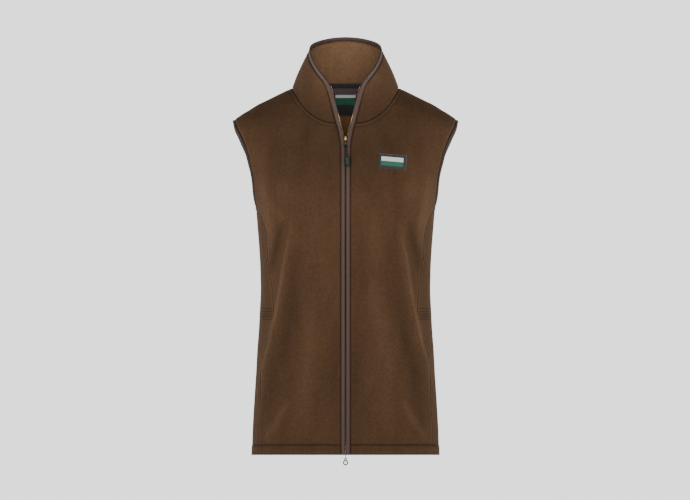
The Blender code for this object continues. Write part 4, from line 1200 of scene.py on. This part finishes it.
def placedPiece(name, work, matrix):
    bmesh.ops.transform(work, matrix=matrix, verts=work.verts)
    bmesh.ops.recalc_face_normals(work, faces=work.faces)
    for face in work.faces:
        face.smooth = True
    return linked(name, meshFrom(work, name))


for key, values in sliderSettings.items():
    values["frame"] = centreFrame(values["z"])
    top = key == "top"
    body, bright = bmesh.new(), bmesh.new()
    addLoop(body if top else bright, values["loop"], values["hole"], values["thick"])
    for depth in plateSettings["depths"]:
        addBlock(body, *values["plate"], *depth)
    addBlock(body, *values["post"], *plateSettings["post"])
    addBlock(bright, *values["nose"])
    obj = placedPiece("slider" + key.capitalize(), body, matrixOf(values["frame"]))
    finishPiece(obj, dullBrassAndShade, "brass", "gilet", "slider_" + key)
    obj = placedPiece("sliderNose" + key.capitalize(), bright, matrixOf(values["frame"]))
    finishPiece(obj, brass if top else agedBrass, "brass", "gilet")
print("sliders made")


# round cord through a path of places, closed or open
def tubePiece(name, path, radius, sides, loopPath=False, first=(0, 0, 1)):
    path = np.asarray(path, float)
    turns = (2 * math.pi * np.arange(sides) / sides)[:, None]
    rings, side = [], np.asarray(first, float)
    for p, a in zip(path, alongPath(path, loopPath)):
        side = unit(side - (side @ a) * a)
        rings.append(p + radius * (np.cos(turns) * side + np.sin(turns) * np.cross(a, side)))
    return stripMesh(name, rings, loopPath)


pullSettings = {"lean": 0.1, "endZ": -157.0, "endOut": 4.6, "cord": 1.15, "recess": 0.35,
                "rubber": (0.006, 0.007, 0.0065), "worn": (0.011, 0.014, 0.0125),
                "panel": (0.012, 0.026, 0.019), "braid": (0.016, 0.014, 0.013),
                "braidDark": (0.003, 0.003, 0.003), "braidLight": (0.026, 0.027, 0.023)}
eye = placeOn(sliderSettings["top"]["frame"], 0.0, *sliderSettings["top"]["eye"])
down = placeOn(centreFrame(pullSettings["endZ"]), 0.0, 0.0, pullSettings["endOut"]) - eye
down /= np.linalg.norm(down)
pullOut = np.cross((1.0, 0, 0), down)
pullOut = -pullOut if pullOut[1] > 0 else pullOut


def onPull(x, d, b=0.0):
    return eye + np.array([x + pullSettings["lean"] * max(0.0, d), 0, 0]) + d * down + b * pullOut


cordTurns = [(1.45, 23.4), (1.5, 20.0), (1.6, 16.0), (1.7, 12.5), (1.9, 9.0), (2.5, 6.0),
             (2.9, 3.8), (2.75, 1.7), (1.9, 0.5), (0.8, 0.05)]
turnPath = cordTurns + [(-x, d) for x, d in cordTurns[::-1]]
path = []
for x, d in smoothLine(turnPath, 110):
    twist = 2 * math.pi * float(ease((d - 6.0) / 16.0))
    path.append(onPull(x * math.cos(twist), d, x * math.sin(twist)))
cordTube = tubePiece("topPullCord", path, pullSettings["cord"], 14, first=pullOut)


# braided cord: crossing strands on the cord's own map
def braidMaterial(settings):
    material, tree, shader = newMaterial("braidedCord", 0.7, settings["braid"], specular=0.15)
    uv = clothMap(tree)
    waves = []
    for turn in (0.7, -0.7):
        lay = addNode(tree, "ShaderNodeMapping", {"Vector": uv})
        lay.inputs["Rotation"].default_value = (0, 0, turn)
        waves.append(bands(tree, lay.outputs[0], "X", 260.0))
    both = sums(tree, "MAXIMUM", *waves)
    colour = mixColours(tree, ramp(tree, both, 0.3, 1.0), settings["braidDark"],
                        settings["braidLight"])
    dressShader(tree, shader, colour, (both, 0.8, 0.0003))
    return material


finishPiece(cordTube, braidMaterial(pullSettings), "cord", "top_pull", "pull_top_cord")

# grip: distance from the eye, half breadth, half thickness
gripTable = np.array([(24.0, 2.9, 1.5), (24.8, 3.4, 1.75), (26.0, 3.3, 1.6), (26.8, 4.2, 1.8),
                      (28.4, 4.9, 2.0), (35.0, 5.0, 2.02), (41.4, 5.0, 2.0), (44.4, 4.7, 1.95),
                      (46.0, 3.8, 1.7), (46.6, 2.8, 1.3)])


def ovalSection(halfA, halfB, count, power):
    turns = 2 * math.pi * np.arange(count) / count
    return [(halfA * math.copysign(abs(x) ** (2 / power), x),
             halfB * math.copysign(abs(y) ** (2 / power), y))
            for x, y in zip(np.cos(turns), np.sin(turns))]


gripRings, gripPanel = [], []
for d in np.concatenate([np.linspace(24.0, 28.4, 16), np.linspace(28.8, 44.4, 34),
                         np.linspace(44.7, 46.6, 9)]):
    ring, panel = [], []
    for a, b in ovalSection(*smoothTable(gripTable, d), 56, 3.2):
        inPanel = float(ease((3.2 - abs(a)) / 0.5) * ease((d - 29.6) / 0.6)
                        * ease((43.4 - d) / 0.6))
        ring.append(onPull(a, d, b - math.copysign(pullSettings["recess"] * inPanel, b)))
        panel.append(inPanel)
    gripRings.append(ring)
    gripPanel.append(panel)
grip = stripMesh("topPullGrip", gripRings, shadeAndPanel=gripPanel)


# moulded rubber: fine matt skin, a little lighter where it is rubbed
def rubberMaterial(settings):
    material, tree, shader = newMaterial("mouldedGrip", 0.5, settings["rubber"], specular=0.2)
    coords = objectCoords(tree)
    rubbed = ramp(tree, noise(tree, coords, 160.0, 2.0), 0.35, 0.7)
    worn = mixColours(tree, rubbed, settings["rubber"], settings["worn"])
    dressShader(tree, shader, mixColours(tree, attribute(tree, "recessShadeAndPanel"), worn,
                                         settings["panel"]),
                (noise(tree, coords, 1800.0, 3.0), 0.3, 0.0001))
    return material


finishPiece(grip, rubberMaterial(pullSettings), "rubber", "top_pull", "pull_top_grip")

# ring and its eye hang on the joint's own axis
ringSettings = {"eye": 2.2, "eyeWire": 0.74, "overlap": 0.2, "radius": 3.9, "wire": 1.15}
swings = {joint["name"]: 1000 * np.array(joint["pos_m"])
          for joint in frame["record"]["behaviour"]["joints"]}
turns = 2 * math.pi * np.arange(64) / 64
circle = np.stack([np.sin(turns), 0 * turns, np.cos(turns)], axis=1)
lower = 2 * ringSettings["eye"] - ringSettings["overlap"] + ringSettings["radius"]
for name, radius, wire, drop, nodeNames in (
        ("bottomPullRing", ringSettings["radius"], ringSettings["wire"], lower, ("pull_bottom",)),
        ("bottomPullEye", ringSettings["eye"], ringSettings["eyeWire"], ringSettings["eye"], ())):
    path = swings["bottom_pull_swing"] - np.array([0, 0, drop]) + radius * circle
    obj = tubePiece(name, path, wire, 14, loopPath=True, first=(0, 1, 0))
    finishPiece(obj, agedBrass, "brass", "bottom_pull", *nodeNames)
print("pulls made")

# labels, neck tape and facing lie on the cloth
labelSettings = {"ground": (0.017, 0.0165, 0.018), "white": (0.60, 0.61, 0.60),
                 "green": (0.012, 0.108, 0.052), "wall": 0.8}
chestSettings = {"wide": 54.0, "high": 28.0, "x": 89.4, "z": -143.5, "tilt": 4.5, "out": 1.25,
                 "edge": 5.4, "top": 5.8, "low": 5.6}
neckSettings = {"wide": 43.0, "top": -3.0, "low": -45.0, "out": 2.6, "edge": 1.3,
                "white": (8.5, 1.5), "green": (23.5, 8.5)}


# BVH of a net, for placing things on it
def treeOf(net):
    cols = net.shape[1]
    quads = [(i * cols + j, i * cols + j + 1, (i + 1) * cols + j + 1, (i + 1) * cols + j)
             for i in range(net.shape[0] - 1) for j in range(cols - 1)]
    return BVHTree.FromPolygons([tuple(p) for p in net.reshape(-1, 3)], quads)


frontLeftTree = treeOf(clothNets["frontLeft"])
inBack = slice(underCols, backCols - underCols)
innerBack = clothNets["back"][:, inBack] - bodySettings["wall"] * backNormals[:, inBack]
innerBackTree = treeOf(innerBack[backLowRows - 1:])
innerCollarTree = treeOf(clothNets["collar"]
                         - bodySettings["wall"] * netNormals(clothNets["collar"]))


def laidNet(trees, places, startY, out):
    net = np.zeros((len(places), len(places[0]), 3))
    for i, row in enumerate(places):
        for j, (x, z) in enumerate(row):
            hits = [one.ray_cast(Vector((x, startY, z)), Vector((0, 1, 0)))[0] for one in trees]
            depths = [hit.y for hit in hits if hit]
            net[i, j] = (x, min(depths) if depths else np.nan, z)
    for j in range(net.shape[1]):  # a place over a seam takes its depth from those either side
        known = ~np.isnan(net[:, j, 1])
        net[:, j, 1] = np.interp(net[:, j, 2], net[known, j, 2], net[known, j, 1])
    normal = netNormals(net)
    return net + out * normal, normal


def netHeight(net):
    return float(np.linalg.norm(np.diff(net[:, net.shape[1] // 2], axis=0), axis=1).sum())


# woven label: plain white and green bands on a charcoal ground
def labelMaterial(name, fields, settings):
    material, tree, shader = newMaterial(name, 0.68, settings["ground"], specular=0.3,
                                         sheen=0.25)
    uv = clothMap(tree)
    parts = addNode(tree, "ShaderNodeSeparateXYZ", {0: uv}).outputs
    threads = sums(tree, "MULTIPLY",
                   bands(tree, uv, "Y", 380.0, Distortion=0.6, Detail_Scale=4.0),
                   bands(tree, uv, "X", 240.0))

    def within(source, low, high):
        away = sums(tree, "SUBTRACT", source, (low + high) / 2 * 0.001)
        half = (high - low) / 2 * 0.001
        return ramp(tree, sums(tree, "ABSOLUTE", away), half, half - 0.00025)

    colour = settings["ground"]
    for key, x0, x1, z0, z1 in fields:
        mask = sums(tree, "MULTIPLY", within(parts[0], x0, x1), within(parts[1], z0, z1))
        colour = mixColours(tree, mask, colour, settings[key])
    shade = ramp(tree, threads, 0.0, 1.0, 0.62, 1.15)
    dressShader(tree, shader, mixColours(tree, 1.0, colour, shade, "MULTIPLY"),
                (threads, 0.5, 0.00025))
    return material


# label on its net, with its rim sunk a little
def labelMesh(name, net, normal, sink, reach):
    rim = 1 - np.clip(closeRim(net.shape[:2], reach), 0, 1)
    net = net - sink * rim[..., None] * normal
    obj = clothMesh(name, net)
    giveWall(obj, labelSettings["wall"])
    return obj, net, netHeight(net)


def labelStitches(name, net, normal, pitch, long):
    stitchRow(name, ringOf(net, 1), ringOf(normal, 1), brownThread, pitch=pitch,
              size=(0.45, long, 0.4))


wide, high, tilt = chestSettings["wide"], chestSettings["high"], chestSettings["tilt"]
c, s = math.cos(math.radians(tilt)), math.sin(math.radians(tilt))
places = [[(chestSettings["x"] + a * c + b * s, chestSettings["z"] - a * s + b * c)
           for a in np.linspace(-wide / 2, wide / 2, 28)]
          for b in np.linspace(-high / 2, high / 2, 15)]
net, normal = laidNet([frontLeftTree], places, -400, chestSettings["out"])
obj, net, high = labelMesh("chestLabel", net, normal, 0.45, 2.0)
left, right = chestSettings["edge"], wide - chestSettings["edge"]
chestCloth = labelMaterial("chestLabelWeave", [
    ("white", left, right, high * 0.5, high - chestSettings["top"]),
    ("green", left, right, chestSettings["low"], high * 0.5)], labelSettings)
finishPiece(obj, chestCloth, "label", "gilet", "chest_label")
labelStitches("chestLabelStitch", net, normal, 1.9, 1.5)


# rows of places across the inside of the neck, at drops below the neckline
def neckRows(half, count, drops):
    table = np.array(edgeSettings["backNeck"])
    return [[(x, float(np.interp(abs(x), table[:, 0], table[:, 1])) - drop)
             for x in np.linspace(-half, half, count)] for drop in drops]


blackTape = wovenMaterial("neckTapeWeave", (0.006, 0.006, 0.007), (0.022, 0.022, 0.024), 300.0,
                          420.0)
plumCloth = wovenMaterial("plumFacing", (0.045, 0.022, 0.024), (0.115, 0.062, 0.066), 330.0,
                          330.0, sheen=0.3)
for name, drops, out, cloth, slotName, node, flat, area in (
        ("neckTape", (5.6, 3.6, 1.6, -0.4, -2.4), 1.9, blackTape, "black_tape", "neck_tape",
         (0.148, 0.012), 0.00118),
        ("neckFacing", (19.5, 15.5, 12.0, 8.5, 5.0), 1.2, plumCloth, "plum", "neck_facing",
         (0.148, 0.015), 0.0018)):
    net, normal = laidNet([innerBackTree, innerCollarTree], neckRows(66, 45, drops), 0, out)
    obj = clothMesh(name, net)
    giveWall(obj, 0.7)
    finishPiece(obj, cloth, slotName, "gilet", node)
    for row, inner, tag in ((0, 1, "Low"), (-1, -2, "High")):
        line = net[row] * 0.82 + net[inner] * 0.18
        stitchRow(name + "Stitch" + tag, line + 0.05 * normal[row], normal[row], brownThread,
                  pitch=2.4, size=(0.4, 1.9, 0.25))

wide = neckSettings["wide"]
places = [[(x, z) for x in np.linspace(-wide / 2, wide / 2, 22)]
          for z in np.linspace(neckSettings["low"], neckSettings["top"], 22)]
net, normal = laidNet([innerBackTree], places, 0, neckSettings["out"])
obj, net, high = labelMesh("neckLabel", net, normal, 0.3, 1.6)
neckCloth = labelMaterial("neckLabelWeave", [
    (key, neckSettings["edge"], wide - neckSettings["edge"], high - neckSettings[key][0],
     high - neckSettings[key][1]) for key in ("white", "green")], labelSettings)
finishPiece(obj, neckCloth, "label", "gilet", "neck_label")
labelStitches("neckLabelStitch", net, normal, 2.0, 1.6)
print("labels made")


# seam and hem stitches on the fleece
def surfaceRow(name, line, outs):
    stitchRow(name, line + stitchSettings["fleeceOut"] * outs, outs, brownThread)


# a line at a distance below an edge row, following each column of the net
def belowEdge(net, normals, cols, distance):
    fields = []
    for field in (net, normals):
        fields.append(np.array([readAt(distance, runLength(net[::-1, j]), field[::-1, j])
                                for j in cols]))
    return fields


neckRanges = {"frontLeft": range(2, neckCols - 2),
              "frontRight": range(len(frontU) - neckCols + 2, len(frontU) - 2),
              "back": range(centreCol - neckSplit + 3, centreCol + neckSplit - 2)}
sewnNets = [(name.replace("front", "").capitalize(), clothNets[name], netNormals(clothNets[name]),
             cols) for name, cols in neckRanges.items()]
for tag, net, normal, cols in sewnNets:
    inHem = (sewSettings["hemRow"], slice(3, -3))
    surfaceRow("hemStitch" + tag, net[inHem], normal[inHem])
for tag, net, normal, cols in sewnNets:
    surfaceRow("collarSeamStitch" + tag, *belowEdge(net, normal, cols, sewSettings["neckLine"]))

# five short rows that close the pocket bag at each side seam
for side, label in sides:
    net = clothNets["pocket" + label]
    normal = netNormals(net)
    cols = np.arange(net.shape[1])
    share = np.linspace(tackSettings["inner"], tackSettings["outer"], 40)
    at = (share if side == 1 else 1 - share) * (net.shape[1] - 1)
    matrices = []
    for z in tackSettings["rows"]:
        heights = net[:, net.shape[1] // 2, 2]
        row = int(np.argmin(np.abs(heights - z)))
        line, outs = readAt(at, cols, net[row]), readAt(at, cols, normal[row])
        line[:, 2] += z - heights[row]
        step = runLength(line)
        for far in np.arange(1.0, step[-1], tackSettings["pitch"]):
            p, q, o = (readAt(far, step, line), readAt(far + 0.5, step, line),
                       readAt(far, step, outs))
            matrices.append(frameMatrix(p + stitchSettings["tackOut"] * o, q - p, o,
                                        tackSettings["size"]))
    obj = manyOf("pocketTack" + label, stitchShape, matrices)
    finishPiece(obj, brownThread, "fleece", "gilet")
print("stitches made")

# floor and light
stageSettings = {"floorZ": -0.95, "floorRadius": 1.3, "key": 38.0, "fill": 27.0, "rim": 9.0,
                 "neck": 1.9, "room": 1.93, "ceiling": 0.2}
work = bmesh.new()
bmesh.ops.create_circle(work, cap_ends=True, cap_tris=False, segments=96,
                        radius=stageSettings["floorRadius"])
floor = linked("floor", meshFrom(work, "floor"))
floor.location = (0, 0, stageSettings["floorZ"])
floor.data.materials.append(newMaterial("paleFloor", 0.8, (0.75, 0.76, 0.77))[0])

# pale room round the gilet with a dimmer ceiling
world = bpy.data.worlds.new("paleRoom")
world.use_nodes = True
worldTree = world.node_tree
direction = addNode(worldTree, "ShaderNodeTexCoord").outputs["Generated"]
upward = addNode(worldTree, "ShaderNodeSeparateXYZ", {0: direction}).outputs[2]
strength = ramp(worldTree, upward, 0.12, 0.75, stageSettings["room"], stageSettings["ceiling"])
worldTree.nodes["Background"].inputs[0].default_value = (0.985, 0.995, 1.0, 1)
worldTree.links.new(strength, worldTree.nodes["Background"].inputs[1])
bpy.context.scene.world = world

for name, place, aim, size, power in (
        ("keyLight", (-0.7, -3.4, 1.0), (0, 0, -0.25), (1.2, 1.2), "key"),
        ("fillLight", (0.9, -3.4, 0.6), (0, 0, -0.3), (1.2, 1.2), "fill"),
        ("neckLight", (0.0, -1.1, 0.75), (0, 0.04, 0.03), (0.25, 0.25), "neck"),
        ("rimLeft", (-1.5, 0.45, 0.1), (0, 0, -0.22), (0.5, 0.9), "rim"),
        ("rimRight", (1.5, 0.45, 0.1), (0, 0, -0.22), (0.5, 0.9), "rim")):
    data = bpy.data.lights.new(name, "AREA")
    data.shape = "RECTANGLE"
    data.size, data.size_y = size
    data.energy = stageSettings[power]
    light = linked(name, data)
    light.location = place
    light.rotation_euler = (Vector(aim) - Vector(place)).to_track_quat("-Z", "Y").to_euler()
print("stage made")
